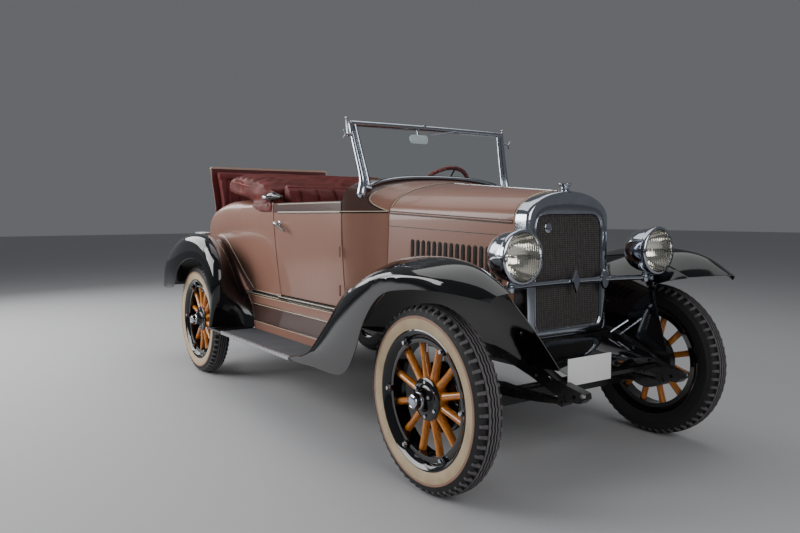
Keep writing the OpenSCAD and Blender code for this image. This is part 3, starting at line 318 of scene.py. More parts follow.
def tyre_shape():
    """A tyre round the Y axis, its outer wall towards +Y; materials are tread, cream wall, ring and the grey tops (dust
    and painted highlight).
    """
    r = outer_radius / mm
    wall = [(268, 44), (272, 50), (284, 55), (300, 59.5), (318, 61), (326, 60.4), (327, 61.6), (335, 61.2),
            (337, 59.6), (352, 55), (362, 50), (366, 46), (367, 29)]
    ribs = [(r - 2, 27), (r - 1, 17), (r - 8, 15.5), (r - 8, 12.5), (r - 0.4, 11), (r, 3), (r - 7, 2), (r - 7, 0)]
    half = wall + ribs
    steps, zigzag = 120, 2.0
    bm = lathe(half + [(a, -b) for a, b in reversed(half[:-1])], steps)
    # the ribs' edges run in a zigzag: every second row of points is moved across the tread
    for v in bm.verts:
        reach = math.hypot(v.co.x, v.co.z) / mm
        step = round(math.atan2(v.co.z, v.co.x) / (math.tau / steps))
        if reach > r - 9 and abs(v.co.y) / mm < 19:
            v.co.y += (zigzag if step % 2 else -zigzag) * mm
    for face in bm.faces:
        spot = face.calc_center_median()
        reach = math.hypot(spot.x, spot.z) / mm
        if spot.y > 0 and 275 < reach < 337:
            face.material_index = 1 if reach < 326 else 2
        elif reach > r - 3:
            face.material_index = 3
    blocks = 58
    for i in range(blocks):
        for side in (-1, 1):
            # a shoulder block: a box that is cut back towards the wall
            made = box_between(bm, local(r - 20, 29, -7.2), local(r - 1.2, 53, 7.2))
            for v in made:
                if v.co.y > 50 * mm:
                    v.co.x -= 15.0 * mm
                    v.co.z *= 0.8
                v.co.y *= side
            if side < 0:
                bmesh.ops.reverse_faces(bm, faces=list(faces_of(made)))
            edges = [e for e in {e for v in made for e in v.link_edges}
                     if min(v.co.x for v in e.verts) > (r - 19) * mm]
            bevelled = rounded(bm, edges, 1.6, 1)
            every = {v for v in made if v.is_valid} | set(bevelled)
            coloured(every, 3)
            turned(bm, list(every), (i + (0.5 if side > 0 else 0)) * math.tau / blocks)
    return bm


outer_side = {"front_left": 0, "front_right": math.pi, "rear_left": 0, "rear_right": math.pi, "spare": math.pi / 2}
bodies = {wheel: "root" if wheel == "spare" else wheel + "_wheel" for wheel in outer_side}
road_wheels = [wheel for wheel in outer_side if wheel != "spare"]


def at_wheel(bm, wheel):
    """Moves a shape whose outer side is towards +Y to a wheel's place."""
    return placed(bm, sum(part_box(wheel + "_tyre"), Vector()) / 2, outer_side[wheel])


for wheel in outer_side:
    piece(wheel + "_tread_tyre", at_wheel(tyre_shape(), wheel), bodies[wheel], "tyre_rubber",
          tyre_tread, cream_wall, wall_ring, tread_top, stands_for=[wheel + "_tyre"])

# ---------------------------------------------------------------- rims, hubs and brake drums
# Steel felloes with a demountable rim held by six wedge lugs, all in gloss black enamel.
# The hub is a forging between two flanges, with a plated screwed cap; a drum is bolted inside.
black_enamel = finish("black_enamel", (0.0030, 0.0032, 0.0045), (0.0050, 0.0052, 0.0070), 3.0, (0.05, 0.12), 0.02,
                      coat=0.4)
# The plate's colour is tinted blue: painted reflection of a bluish room, over the metal's own colour.
nickel = finish("nickel_plate", (0.54, 0.57, 0.63), (0.46, 0.49, 0.55), 18.0, (0.04, 0.13), 0.02, metal=1.0)
lug_circle = 245


def joined(bm, other):
    """Adds one bmesh to another."""
    mesh = bpy.data.meshes.new("part")
    other.to_mesh(mesh)
    other.free()
    bm.from_mesh(mesh)
    bpy.data.meshes.remove(mesh)


def nut(bm, place, axis, across, length, material_index=1):
    """A hexagon nut whose middle is at place, in millimetres."""
    turn = Vector((0, 0, 1)).rotation_difference(Vector(axis)).to_matrix().to_4x4()
    made = bmesh.ops.create_cone(bm, cap_ends=True, segments=6, radius1=across * mm, radius2=across * 0.94 * mm,
                                 depth=length * mm, matrix=Matrix.Translation(local(*place)) @ turn)["verts"]
    coloured(made, material_index)
    return made


def felloe_and_rim():
    bm = lathe([(228, -33), (250, -33), (258, -44), (266, -52), (277, -57), (282, -55), (283, -51), (276, -48),
                (268, -43), (266, 0), (268, 43), (276, 48), (283, 51), (282, 55), (277, 57), (266, 52),
                (258, 44), (250, 33), (240, 35), (228, 33)], 96, closed=True)
    for i in range(6):
        made = box_between(bm, local(-13, 33, 232), local(13, 44, 262), 3)
        made += nut(bm, (0, 49, lug_circle), (0, 1, 0), 9, 12)
        turned(bm, made, (i + 0.5) * math.pi / 3)
    valve = bmesh.ops.create_cone(bm, cap_ends=True, segments=12, radius1=4 * mm, radius2=3 * mm, depth=46 * mm,
                                  matrix=Matrix.Translation(local(0, 20, 214)))["verts"]
    coloured(valve, 1)
    return bm


def hub_and_drum():
    bm = lathe([(0, 22), (86, 22), (86, 27), (82, 30), (62, 31), (50, 34), (44, 40), (40, 52), (37, 62),
                (30, 64), (0, 64)], 64)
    joined(bm, lathe([(50, -21), (140, -22), (142, -26), (142, -34), (139, -36), (139, -55), (133, -56),
                      (133, -30), (50, -30)], 64, closed=True))
    cap = lathe([(31, 62), (34, 63), (34, 68), (31, 70), (30, 72), (30, 90), (28, 96), (22, 99), (20, 98),
                 (12, 100), (0, 101)], 40)
    coloured(cap.verts, 1)
    joined(bm, cap)
    for i in range(6):
        turned(bm, nut(bm, (0, 32, 70), (0, 1, 0), 8, 9), i * math.pi / 3)
    for i in range(8):
        turned(bm, box_between(bm, local(-3, 74, 29.2), local(3, 89, 31.6), 1), i * math.pi / 4)
    return bm


for wheel in road_wheels:
    bm = felloe_and_rim()
    joined(bm, hub_and_drum())
    piece(wheel + "_rim_and_hub", at_wheel(bm, wheel), bodies[wheel], "black_paint", black_enamel, nickel,
          stands_for=[wheel + "_rim"])
bm = felloe_and_rim()
for i in range(3):
    turned(bm, box_between(bm, local(-15, -40, 0), local(15, -28, 232), 3), i * math.tau / 3)
joined(bm, lathe([(0, -20), (58, -20), (60, -24), (60, -38), (56, -40), (0, -40)], 40))
piece("spare_demountable_rim", at_wheel(bm, "spare"), "root", "black_paint", black_enamel, nickel,
      stands_for=["spare_rim"])

# ---------------------------------------------------------------- wooden spokes
# Twelve hickory spokes, wedged together at the hub and turned down towards the felloe.
# They are varnished a strong orange, with the grain running out along each spoke.
spoke_count = 12


def spoke_varnish(wheel):
    """Varnished wood whose grain runs out from the wheel's centre."""
    material = finish("varnished_hickory_" + wheel, (0.62, 0.20, 0.018), (0.80, 0.31, 0.04), 14.0, (0.14, 0.30),
                      0.05, coat=0.7)
    tree = material.node_tree
    coordinates = tree.nodes.new("ShaderNodeTexCoord")
    centred = tree.nodes.new("ShaderNodeMapping")
    centred.inputs["Location"].default_value = -sum(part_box(wheel + "_tyre"), Vector()) / 2
    tree.links.new(coordinates.outputs["Object"], centred.inputs["Vector"])
    parts = tree.nodes.new("ShaderNodeSeparateXYZ")
    tree.links.new(centred.outputs[0], parts.inputs[0])
    around = reckon(tree, "MULTIPLY", reckon(tree, "ARCTAN2", parts.outputs["Z"], parts.outputs["X"]), 26.0)
    length = tree.nodes.new("ShaderNodeVectorMath")
    length.operation = "LENGTH"
    tree.links.new(centred.outputs[0], length.inputs[0])
    grain_place = tree.nodes.new("ShaderNodeCombineXYZ")
    along = reckon(tree, "MULTIPLY", length.outputs["Value"], 9.0)
    for axis, value in (("X", around), ("Y", reckon(tree, "MULTIPLY", parts.outputs["Y"], 160.0)), ("Z", along)):
        tree.links.new(value, grain_place.inputs[axis])
    streaks = spread(tree, noise(tree, grain_place.outputs[0], 1.6, 6.0, 0.6), 0.42, 0.66)
    tint(material, streaks, (0.30, 0.075, 0.006))
    return material


def spoke_shape():
    bm = bmesh.new()
    rings = [(62, 21, 20), (84, 21, 20.5), (100, 17, 20), (125, 15.5, 18.5), (160, 15, 17), (195, 15.5, 16.5),
             (214, 16.5, 16.5), (229, 17, 16.5)]
    sides = 20
    for i in range(spoke_count):
        made = []
        for height, across, deep in rings:
            circle = bmesh.ops.create_circle(bm, segments=sides, radius=1.0)["verts"]
            for v in circle:
                v.co = local(v.co.x * across, v.co.y * deep, height)
            made.append(circle)
        for a, b in zip(made, made[1:]):
            edges = [e for ring in (a, b) for e in {e for v in ring for e in v.link_edges}
                     if all(v in ring for v in e.verts)]
            bmesh.ops.bridge_loops(bm, edges=edges)
        turned(bm, [v for ring in made for v in ring], (i + 0.5) * math.tau / spoke_count)
    bmesh.ops.recalc_face_normals(bm, faces=bm.faces)
    joined(bm, lathe([(47, -20), (84, -20), (84, 20), (47, 20)], 64, closed=True))
    return bm


for wheel in road_wheels:
    piece(wheel + "_hickory_spokes", at_wheel(spoke_shape(), wheel), bodies[wheel], "spoke_wood",
          spoke_varnish(wheel), stands_for=[wheel + "_spokes"])

# ---------------------------------------------------------------- fenders and their skirts
# Deep drawn steel fenders with a rolled edge, joined to the frame by long skirts.
# They are in the same gloss black enamel as the rims, with only faint waves in the sheet.
middle_offset = 166  # the frame's origin stands this far behind the middle of the wheelbase


def at(x, y, z):
    """A place from the floor under the middle of the wheelbase, in millimetres, as metres in the frame."""
    return Vector((x + middle_offset, y, z)) * mm


def cad_copy(node):
    """The frame's own shape of a node, with its doubled points merged."""
    bm = bmesh.new()
    bm.from_mesh(frame["nodes"][node].data)
    bmesh.ops.remove_doubles(bm, verts=bm.verts, dist=1e-5)
    return bm


def run(points):
    """Points of a rod as (x, y, z, radius), all in millimetres, made metres in the frame."""
    return [(*at(x, y, z), radius * mm) for x, y, z, radius in points]


def smoothed(made, levels=2):
    smooth = made.modifiers.new("smooth", "SUBSURF")
    smooth.levels = smooth.render_levels = levels


def thickened(made, thickness):
    """Gives an open sheet its thickness, in millimetres."""
    sheet = made.modifiers.new("sheet", "SOLIDIFY")
    sheet.thickness = thickness * mm
    sheet.offset = 0.0


def panel(node, name, body="root", slot="body_paint", material=None, bm=None):
    """A node's own shape as a pressed panel: its hard edges are kept and the rest is made smooth."""
    bm = bm or cad_copy(node)
    bmesh.ops.join_triangles(bm, faces=bm.faces, angle_face_threshold=math.radians(30),
                             angle_shape_threshold=math.radians(70))
    hard = 38.0
    crease = bm.edges.layers.float.new("crease_edge")
    for edge in bm.edges:
        if len(edge.link_faces) == 2 and edge.calc_face_angle(0.0) > math.radians(hard):
            edge[crease] = 0.95
    made = piece(name, bm, body, slot, material or rose_enamel, sharp=hard, stands_for=[node])
    smoothed(made)
    return made


def surface_of(made):
    """A piece's finished surface, for rays."""
    return BVHTree.FromObject(made, bpy.context.evaluated_depsgraph_get())


def met(surface, side, x, z):
    """Where a ray from beside the car, on the side +1 or -1, meets a surface at (x, z), and its normal there."""
    return surface.ray_cast(at(x, side * 1300, z), Vector((0, -side, 0)))[:2]


def rods(name, runs, body, slot, material, sides=3, stands_for=()):
    """Round rods and beads: each run is a list of (x, y, z, radius) in metres."""
    curve = bpy.data.curves.new(name, "CURVE")
    curve.dimensions = "3D"
    curve.bevel_depth = 1.0
    curve.bevel_resolution = sides
    curve.use_fill_caps = True
    for run in runs:
        spline = curve.splines.new("POLY")
        spline.points.add(len(run) - 1)
        for point, (x, y, z, radius) in zip(spline.points, run):
            point.co = (x, y, z, 1)
            point.radius = radius
    holder = bpy.data.objects.new(name, curve)
    bm = bmesh.new()
    bm.from_mesh(holder.to_mesh())
    holder.to_mesh_clear()
    bpy.data.objects.remove(holder)
    bpy.data.curves.remove(curve)
    bmesh.ops.remove_doubles(bm, verts=bm.verts, dist=1e-6)
    bmesh.ops.recalc_face_normals(bm, faces=bm.faces)
    for face in bm.faces:
        face.material_index = 0
    return piece(name, bm, body, slot, material, sharp=50.0, stands_for=stands_for)


def eased(points, steps=6):
    """A smooth run through a few points."""
    out = []
    for i in range(len(points) - 1):
        a, b, c, d = (Vector(points[min(max(k, 0), len(points) - 1)]) for k in (i - 1, i, i + 1, i + 2))
        for j in range(steps):
            t = j / steps
            out.append(0.5 * ((2 * b) + (c - a) * t + (2 * a - 5 * b + 4 * c - d) * t * t
                              + (3 * b - a - 3 * c + d) * t * t * t))
    return out + [Vector(points[-1])]


panel("front_fenders", "front_fenders_pressed", slot="black_paint", material=black_enamel)
rear_fenders = panel("rear_fenders", "rear_fenders_pressed", slot="black_paint", material=black_enamel)

# ---------------------------------------------------------------- painted body panels
# Steel panels over an ash frame, sprayed rose beige, with umber above the belt moulding.
# Cream and black half round mouldings are laid along the belt, the hood joints and the sills.
rose, rose_shade = (0.315, 0.158, 0.114), (0.288, 0.140, 0.100)
umber = (0.078, 0.038, 0.030)
belt, sill = 1130, 618
door_front, door_rear, door_top = 419, -320, 1185
hood_rear = 610
sweep_top, sweep_foot, sweep_station, sweep_reach, sweep_power = 1231, 1133, 513, 97, 2.6
sides = {"left": 1, "right": -1}


def rose_paint(name, covered=None):
    """Body enamel; covered gives the places that the darker colour takes."""
    material = finish(name, rose, rose_shade, 2.2, (0.31, 0.37), 0.008, coat=0.35)
    if covered:
        tree = material.node_tree
        tint(material, covered(tree, own_parts(tree)), umber)
    return material


def over_the_belt(tree, parts):
    return reckon(tree, "GREATER_THAN", parts["Z"], belt * mm)


def cowl_sweep(z):
    """Station of the line that sweeps down the cowl from the screen post to the hood's belt."""
    drop = min(max((sweep_top - z) / (sweep_top - sweep_foot), 0), 1)
    return sweep_station + sweep_reach * drop ** sweep_power


def behind_the_sweep(tree, parts):
    """The same line as cowl_sweep gives, for the paint behind it."""
    drop = spread(tree, parts["Z"], sweep_top * mm, sweep_foot * mm)
    edge = reckon(tree, "MULTIPLY", reckon(tree, "POWER", drop, sweep_power), sweep_reach * mm)
    station = reckon(tree, "SUBTRACT", parts["X"], (sweep_station + middle_offset) * mm)
    return reckon(tree, "MULTIPLY", reckon(tree, "LESS_THAN", station, edge), over_the_belt(tree, parts))


def between_the_stripes(tree, parts):
    low = reckon(tree, "GREATER_THAN", parts["Z"], 440 * mm)
    return reckon(tree, "MULTIPLY", low, reckon(tree, "LESS_THAN", parts["Z"], 545 * mm))


def lined_lid():
    """The lid's paint on its outer side and edge, and leather sewn over its inner side."""
    material = rose_paint("lid_enamel")
    tree = material.node_tree
    parts = own_parts(tree)
    inner = reckon(tree, "GREATER_THAN", own_parts(tree, "Normal")["X"], 0.35)
    across = reckon(tree, "LESS_THAN", reckon(tree, "ABSOLUTE", parts["Y"]), 494 * mm)
    sewn_on = reckon(tree, "MULTIPLY", across, reckon(tree, "LESS_THAN", parts["Z"], 1474 * mm))
    tint(material, inner, (0.52, 0.37, 0.29))
    tint(material, reckon(tree, "MULTIPLY", inner, sewn_on), (0.105, 0.020, 0.020))
    return material


rose_enamel = rose_paint("rose_enamel")
cream_line = finish("cream_line", (0.72, 0.60, 0.42), (0.60, 0.49, 0.34), 20.0, (0.25, 0.4), 0.02, coat=0.5)
cowl_surface = surface_of(panel("cowl", "cowl_panel", material=rose_paint("cowl_enamel", behind_the_sweep)))
tub_surface = surface_of(panel("rear_body", "rear_body_panel"))
apron_surface = surface_of(panel("splash_aprons", "splash_apron_panels",
                                 material=rose_paint("apron_enamel", between_the_stripes)))
door_enamel = rose_paint("door_enamel", over_the_belt)
door_surface = {side: surface_of(panel(side + "_door", side + "_door_panel", side + "_door", material=door_enamel))
                for side in sides}
hood_surface = {side: surface_of(panel(side + "_hood", side + "_hood_leaf", side + "_hood")) for side in sides}
bm = cad_copy("rumble_lid")
bmesh.ops.join_triangles(bm, faces=bm.faces, angle_face_threshold=math.radians(5),
                         angle_shape_threshold=math.radians(80))
upper_corners = [e for e in bm.edges if all(abs(v.co.y) > 506 * mm and v.co.z > 1470 * mm for v in e.verts)
                 and abs((e.verts[0].co - e.verts[1].co).y) < 2 * mm and e.calc_face_angle(0) > 1
                 and abs((e.verts[0].co - e.verts[1].co).normalized().x) > 0.7]
rounded(bm, upper_corners, 24, 5)
panel("rumble_lid", "rumble_lid_skin", "rumble_lid", material=lined_lid(), bm=bm)
dress(rose_enamel, "dashboard")


def laid_on(surface, side, places, radius):
    """A bead along (x, z) places on a panel's outer side, sunk almost half into the sheet."""
    bead = []
    for x, z in places:
        hit, normal = met(surface, side, x, z)
        if hit:
            bead.append((*(hit + normal * radius * mm * 0.1), radius * mm))
    return bead


def over_hood(surface, x, side, radius, low):
    """A bead across a panel from its side at height low up to the middle."""
    bead = []
    for angle in stations(-50, 90, 39):
        out = Vector((0, side * math.cos(math.radians(angle)), math.sin(math.radians(angle))))
        hit, normal = surface.ray_cast(at(x, 0, 1020) + out * 0.9, -out)[:2]
        if hit and hit.z > low * mm and abs(hit.x - at(x, 0, 0).x) < 0.01:
            bead.append((*(hit + normal * radius * mm * 0.1), radius * mm))
    return bead


def stations(a, b, n=24):
    return [a + (b - a) * i / n for i in range(n + 1)]


def level(z, a, b, n=24):
    """Places along a level line."""
    return [(x, z) for x in stations(a, b, n)]


def hood_line(rear_z, front_z, a, b):
    """Places along a line that falls from the cowl towards the shell."""
    return [(x, rear_z + (front_z - rear_z) * (x - hood_rear) / 725) for x in stations(a, b)]


def line(name, colour, *runs, body="root"):
    """Painted beads on a panel."""
    rods(name, runs, body, "body_paint", colour)


for side, y in sides.items():
    door, hood = side + "_door", side + "_hood"
    # the belt: a cream bead with a black one under it, on the door and the cowl
    for tag, surface, body, a, b in ((door, door_surface[side], door, door_rear + 4, door_front - 4),
                                     (side + "_cowl", cowl_surface, "root", door_front + 4, 606)):
        line(tag + "_belt_cream", cream_line, laid_on(surface, y, level(belt + 3, a, b), 2.6), body=body)
        line(tag + "_belt_black", black_enamel, laid_on(surface, y, level(belt - 2.5, a, b), 3.2), body=body)
    top = level(door_top - 5, door_rear + 4, door_front - 4)
    line(door + "_top_cream", cream_line, laid_on(door_surface[side], y, top, 2.2), body=door)
    # the line that sweeps down the cowl
    sweep = [(cowl_sweep(z), z) for z in stations(1236, 1134, 30)]
    shadow = [(x - 5, z - 4) for x, z in sweep if z < 1228]
    line(side + "_cowl_sweep", cream_line, laid_on(cowl_surface, y, sweep, 2.2))
    line(side + "_cowl_sweep_shadow", black_enamel, laid_on(cowl_surface, y, shadow, 1.8))
    # hood: a moulding between two black lines at its belt, a thin line below it, and a bead at each end
    leaf = hood_surface[side]
    for tag, offset, radius, colour in (("middle", 0, 4.6, rose_enamel), ("upper_black", 6.5, 2.6, black_enamel),
                                        ("lower_black", -6.5, 2.6, black_enamel)):
        places = hood_line(1128 + offset, 1083 + offset, 618, 1335)
        line(hood + "_belt_" + tag, colour, laid_on(leaf, y, places, radius), body=hood)
    line(hood + "_fold", black_enamel, laid_on(leaf, y, hood_line(1060, 1022, 616, 1345), 1.6), body=hood)
    for tag, x, radius, colour, low in (
            ("rear_cream", 618, 2.6, cream_line, 1133), ("rear_black", 623.5, 2.2, black_enamel, 1133),
            ("front_cream", 1346, 2.4, cream_line, 1092), ("front_black", 1341, 2.0, black_enamel, 1092)):
        line(hood + "_" + tag, colour, over_hood(leaf, x, y, radius, low), body=hood)
    # the pairs of lines on the apron and along the rear fender
    for height, radius, colour in ((608, 2.2, cream_line), (603, 3.0, black_enamel), (597, 2.2, cream_line),
                                   (548, 2.2, black_enamel), (543, 2.4, cream_line), (438, 2.2, black_enamel),
                                   (433, 2.0, cream_line)):
        bead = laid_on(apron_surface, y, level(height, -850, 640, 50), radius)
        if len(bead) > 1:
            line(side + "_apron_line_%d" % height, colour, bead)
    # the sill moulding under the door, carried on along the rear quarter
    for tag, colour, out, up, radius, rear_up, rear_radius in (("moulding", black_enamel, 589, 0, 9, 0, 7),
                                                               ("cream", cream_line, 597, 6, 2.2, 10, 2.2)):
        line(side + "_sill_" + tag, colour,
             run([(x, y * out, sill + up, radius) for x in stations(-345, 612, 12)]),
             laid_on(tub_surface, y, level(sill + rear_up, -800, -352), rear_radius))
    arc = [(v.x, v.z) for v in eased([(-780, 0, 640), (-900, 0, 712), (-1020, 0, 800), (-1130, 0, 872),
                                      (-1210, 0, 925), (-1300, 0, 962), (-1400, 0, 978)])]
    line(side + "_fender_line_cream", cream_line, laid_on(tub_surface, y, arc, 2.4))
    line(side + "_fender_line_black", black_enamel, laid_on(tub_surface, y, [(x - 3, z - 6) for x, z in arc], 3.0))

# ---------------------------------------------------------------- hood louvres
# Sixteen upright louvres are pressed out of each hood side, open towards the front.
# Each is a round ended slot, drawn as a near black capsule that is painted shade for the dark inside of its opening,
# with a narrow rib in body colour beside it.
# the slots' near black is painted shade: the dark inside of each opening
louvre_slot_shade = finish("louvre_slot_shade", (0.006, 0.005, 0.005), (0.012, 0.010, 0.009), 30.0, (0.7, 0.9), 0.05)
for side, y in sides.items():
    bm = bmesh.new()
    for i in range(16):
        x, height = 770 + 33.6 * i, 156
        top = 998 - 0.055 * (x - 707)
        hit = met(hood_surface[side], y, x, top - height / 2)[0]
        lean = math.atan2((met(hood_surface[side], y, x, top - height)[0] - hit).y * y, height / 2 * mm)
        # index 1 is the slot, a near black capsule of painted shade; index 0 is the rib in body colour
        for shift, wide, proud, index in ((-15.6, 2.6, 4.6, 0), (0.6, 13.0, 3.2, 1)):
            made = bmesh.ops.create_uvsphere(bm, u_segments=14, v_segments=9, radius=1.0)["verts"]
            for v in made:
                # a long capsule: the ends stay round while the middle is drawn out
                up = (v.co.z > 0) - (v.co.z < 0)
                v.co = local(v.co.x * wide, v.co.y * proud, v.co.z * wide * 1.2 + up * (height / 2 - wide))
            bmesh.ops.rotate(bm, verts=made, matrix=Matrix.Rotation(lean * y, 3, "X"))
            bmesh.ops.translate(bm, verts=made, vec=hit + local(shift, 0, 0))
            coloured(made, index)
    piece(side + "_hood_louvres", bm, side + "_hood", "body_paint", rose_enamel, louvre_slot_shade, sharp=80.0)

# ---------------------------------------------------------------- radiator shell, cap and core
# The shell is rolled and drawn brass sheet, nickel plated, with a soldered bead round its window.
# Behind it stands the core: upright ribs crossed by fine fins over dull black, the ribs drawn in a lighter dull grey
# than the black behind them.
shell_back, shell_face = 1352.3, 1430
core_black = finish("core_black", (0.008, 0.008, 0.009), (0.022, 0.022, 0.024), 40.0, (0.45, 0.7), 0.2)
core_rib = finish("core_rib", (0.085, 0.078, 0.074), (0.14, 0.128, 0.12), 60.0, (0.35, 0.6), 0.2, metal=0.4)


def shell_outline(inset, x):
    """The shell's outline at a station: an arch over straight sides with rounded feet."""
    points = []
    for i in range(25):
        angle = math.radians(7.5 * i)
        c = math.cos(angle)
        points.append(at(x, (256 - inset) * math.copysign(abs(c) ** 0.96, c),
                         1090 + (128 - inset) * math.sin(angle) ** 0.96))
    for turn, side in ((180, -1), (270, 1)):
        for i in range(6):
            angle = math.radians(turn + 18 * i)
            points.append(at(x, side * (256 - inset - 36) + 36 * math.cos(angle),
                             572 + inset + 36 + 36 * math.sin(angle)))
    return points


def window_outline(grow, x):
    """The window's outline at a station: a rectangle with well rounded corners."""
    points = []
    for spot in shell_outline(0, x):
        angle = math.atan2(spot.z / mm - 858, spot.y / mm)
        reach = ((abs(math.cos(angle)) / (209 + grow)) ** 9 + (abs(math.sin(angle)) / (256 + grow)) ** 9) ** (-1 / 9)
        points.append(at(x, reach * math.cos(angle), 858 + reach * math.sin(angle)))
    return points


def bridged(bm, rings):
    """Skins a closed row of rings of points."""
    loops = []
    for points in rings:
        verts = [bm.verts.new(p) for p in points]
        loops.append([bm.edges.new(pair) for pair in zip(verts, verts[1:] + verts[:1])])
    for a, b in zip(loops, loops[1:] + loops[:1]):
        bmesh.ops.bridge_loops(bm, edges=a + b)


def plated(name, shape, body="root", sharp=35.0, **how):
    """A nickel plated piece, from a bmesh or from runs of rod."""
    if isinstance(shape, list):
        rods(name, shape, body, "nickel", nickel, **how)
    else:
        piece(name, shape, body, "nickel", nickel, sharp=sharp, **how)


quarter = math.pi / 2
bm = bmesh.new()
bridged(bm, [shell_outline(inset, x) for inset, x in (
    (5, shell_back), (0, shell_back), (0, 1384), (0, 1414), (1.5, 1420), (5, 1425), (10, 1428.5), (17, shell_face))]
    + [window_outline(grow, x) for grow, x in ((9, shell_face), (4, 1428.5), (1, 1425), (0, 1413))]
    + [shell_outline(5, 1412.6)])
bmesh.ops.recalc_face_normals(bm, faces=bm.faces)
cap = lathe([(0, 1250), (18, 1250), (25, 1253), (29, 1252), (30, 1249), (28, 1244), (22, 1238), (18, 1231),
             (18, 1226), (22, 1221), (30, 1217), (32, 1213)], 48)
joined(bm, placed(cap, at(1395, 0, 0), quarter, "X"))
plated("radiator_shell_plated", bm, sharp=32.0, stands_for=["radiator_shell"])
window = [(*p, 3.2 * mm) for p in window_outline(5, shell_face)]
plated("radiator_window_bead", [window + window[:1]])

bm = bmesh.new()
for y in stations(-205, 205, 39):
    box_between(bm, at(1411.9, y - 1.5, 604), at(1415.5, y + 1.5, 1112))
for z in stations(607, 1109, 55):
    box_between(bm, at(1411.9, -207, z - 1.3), at(1415.3, 207, z + 1.3))
piece("radiator_core_ribs", bm, "root", "core_mesh", core_rib)
disc = lathe([(0, 4), (18, 4), (21, 2.5), (22, 0), (0, 0)], 32)
plated("plain_core_medallion", placed(disc, at(1416, -124, 1056), -quarter))
dress(core_black, "radiator_core")

# ---------------------------------------------------------------- headlamps and their bar
# Spun brass bowls, plated, with a silvered reflector and a lens moulded in upright flutes.
# They stand on a bowed tie bar whose ends are bolted to the fender skirts, with two blank plated badges.
lamp_x, lamp_y, lamp_z, lamp_bar_z = 1567, 426, 947, 820
lamp_foot = lamp_x - 60
reflector_silver = finish("reflector_silver", (0.86, 0.84, 0.80), (0.78, 0.76, 0.72), 12.0, (0.04, 0.12), 0.02,
                          metal=1.0)


def glass(name, colour, wave=None):
    """Clear glass; wave is the number of flutes in each metre across it."""
    material, tree, shader = blank(name)
    shader.inputs["Transmission Weight"].default_value = 1.0
    shader.inputs["IOR"].default_value = 1.3
    shader.inputs["Base Color"].default_value = (*colour, 1)
    flutes = None
    if wave:
        flutes = reckon(tree, "SINE", reckon(tree, "MULTIPLY", own_parts(tree)["Y"], wave * math.tau))
    lively(tree, shader, 6.0, (0.0, 0.04), 0.22 if wave else 0.03, flutes)
    return material


lens_glass = glass("lamp_lens_glass", (0.97, 0.97, 0.93), wave=75)
for side, y in sides.items():
    lamp_place = at(lamp_x, y * lamp_y, lamp_z)
    bowl = lathe([(0, -153), (10, -152.5), (30, -149), (52, -141), (72, -126), (88, -104), (98, -76), (103, -46),
                  (105, -20), (106, -10), (110, -8), (111, -3), (111, 10), (109.5, 14), (105, 17), (99, 18),
                  (98, 15), (97, 8), (97, -8)], 72)
    plated(side + "_lamp_bowl", placed(bowl, lamp_place, -quarter), sharp=50.0)
    mirror = lathe([(97, 4), (90, -18), (78, -42), (60, -66), (40, -82), (18, -90), (0, -92)], 64)
    bulb = lathe([(0, -30), (5, -31), (10, -37), (12, -46), (10, -55), (7, -62), (7, -88), (0, -89)], 24)
    joined(mirror, bulb)
    bmesh.ops.reverse_faces(mirror, faces=[f for f in mirror.faces if f.normal.y < 0 and
                                           math.hypot(*f.calc_center_median().xz) > 16 * mm])
    piece(side + "_lamp_reflector", placed(mirror, lamp_place, -quarter), "root", "nickel", reflector_silver,
          sharp=60.0)
    lens = lathe([(0, 22), (30, 21), (60, 18), (85, 13), (97, 9), (97, 5), (84, 9), (58, 14), (30, 17), (0, 18)],
                 64)
    piece(side + "_lamp_lens", placed(lens, lamp_place, -quarter), "root", "glass_clear", lens_glass, sharp=60.0)
    stem = lathe([(0, 800), (14, 800), (17, 806), (17, 834), (13, 842), (11, 858), (13, 872), (20, 884), (0, 890)],
                 36)
    plated(side + "_lamp_stem", placed(stem, at(lamp_foot, y * lamp_y, 0), quarter, "X"), sharp=50.0)
bar_half, bar_bow = lamp_y + 16, 64
plated("lamp_tie_bar", [run([(1443 + bar_bow * s ** 2, bar_half * s, lamp_bar_z, 12.5) for s in stations(-1, 1, 48)])],
       sides=5, stands_for=["headlamps"])
badges = bmesh.new()
for y, half_wide, half_tall, segments in ((6, 24, 54, 4), (196, 25, 46, 32)):
    made = bmesh.ops.create_cone(badges, cap_ends=True, segments=segments, radius1=1.0, radius2=0.86, depth=1.0)
    for v in made["verts"]:
        v.co = at(1464 + v.co.z * 8, y + v.co.x * half_wide, lamp_bar_z + v.co.y * half_tall)
bmesh.ops.recalc_face_normals(badges, faces=badges.faces)
plated("plain_bar_badges", badges)
plated("lamp_bar_feet", [run([(lamp_foot, y * w, lamp_bar_z - 6, r) for w, r in ((430, 12), (460, 12), (462, 18),
                                                                                (467, 18))]) for y in (1, -1)], sides=5)

# ---------------------------------------------------------------- front apron, brace rods and plate
# A curved steel pan closes the space between the frame horns, with a blank plate hung in front of it.
# Two thin plated rods brace the fender skirts to the frame below the radiator.
pan_rows = [(1438, 566, 262), (1470, 562, 268), (1520, 552, 276), (1580, 540, 285), (1640, 524, 293), (1690, 500, 298)]
bm = bmesh.new()
grid = bmesh.ops.create_grid(bm, x_segments=len(pan_rows) - 1, y_segments=12, size=1.0)["verts"]
for v in grid:
    x, z, half = pan_rows[round((v.co.x + 1) / 2 * (len(pan_rows) - 1))]
    v.co = at(x, v.co.y * half, z - 26 * v.co.y ** 4)
pan = piece("front_apron_pan", bm, "root", "black_paint", black_enamel, sharp=60.0)
thickened(pan, 2.5)
smoothed(pan)
plate_white = finish("plate_white", (0.80, 0.80, 0.79), (0.74, 0.74, 0.73), 10.0, (0.3, 0.45), 0.02)
bm = bmesh.new()
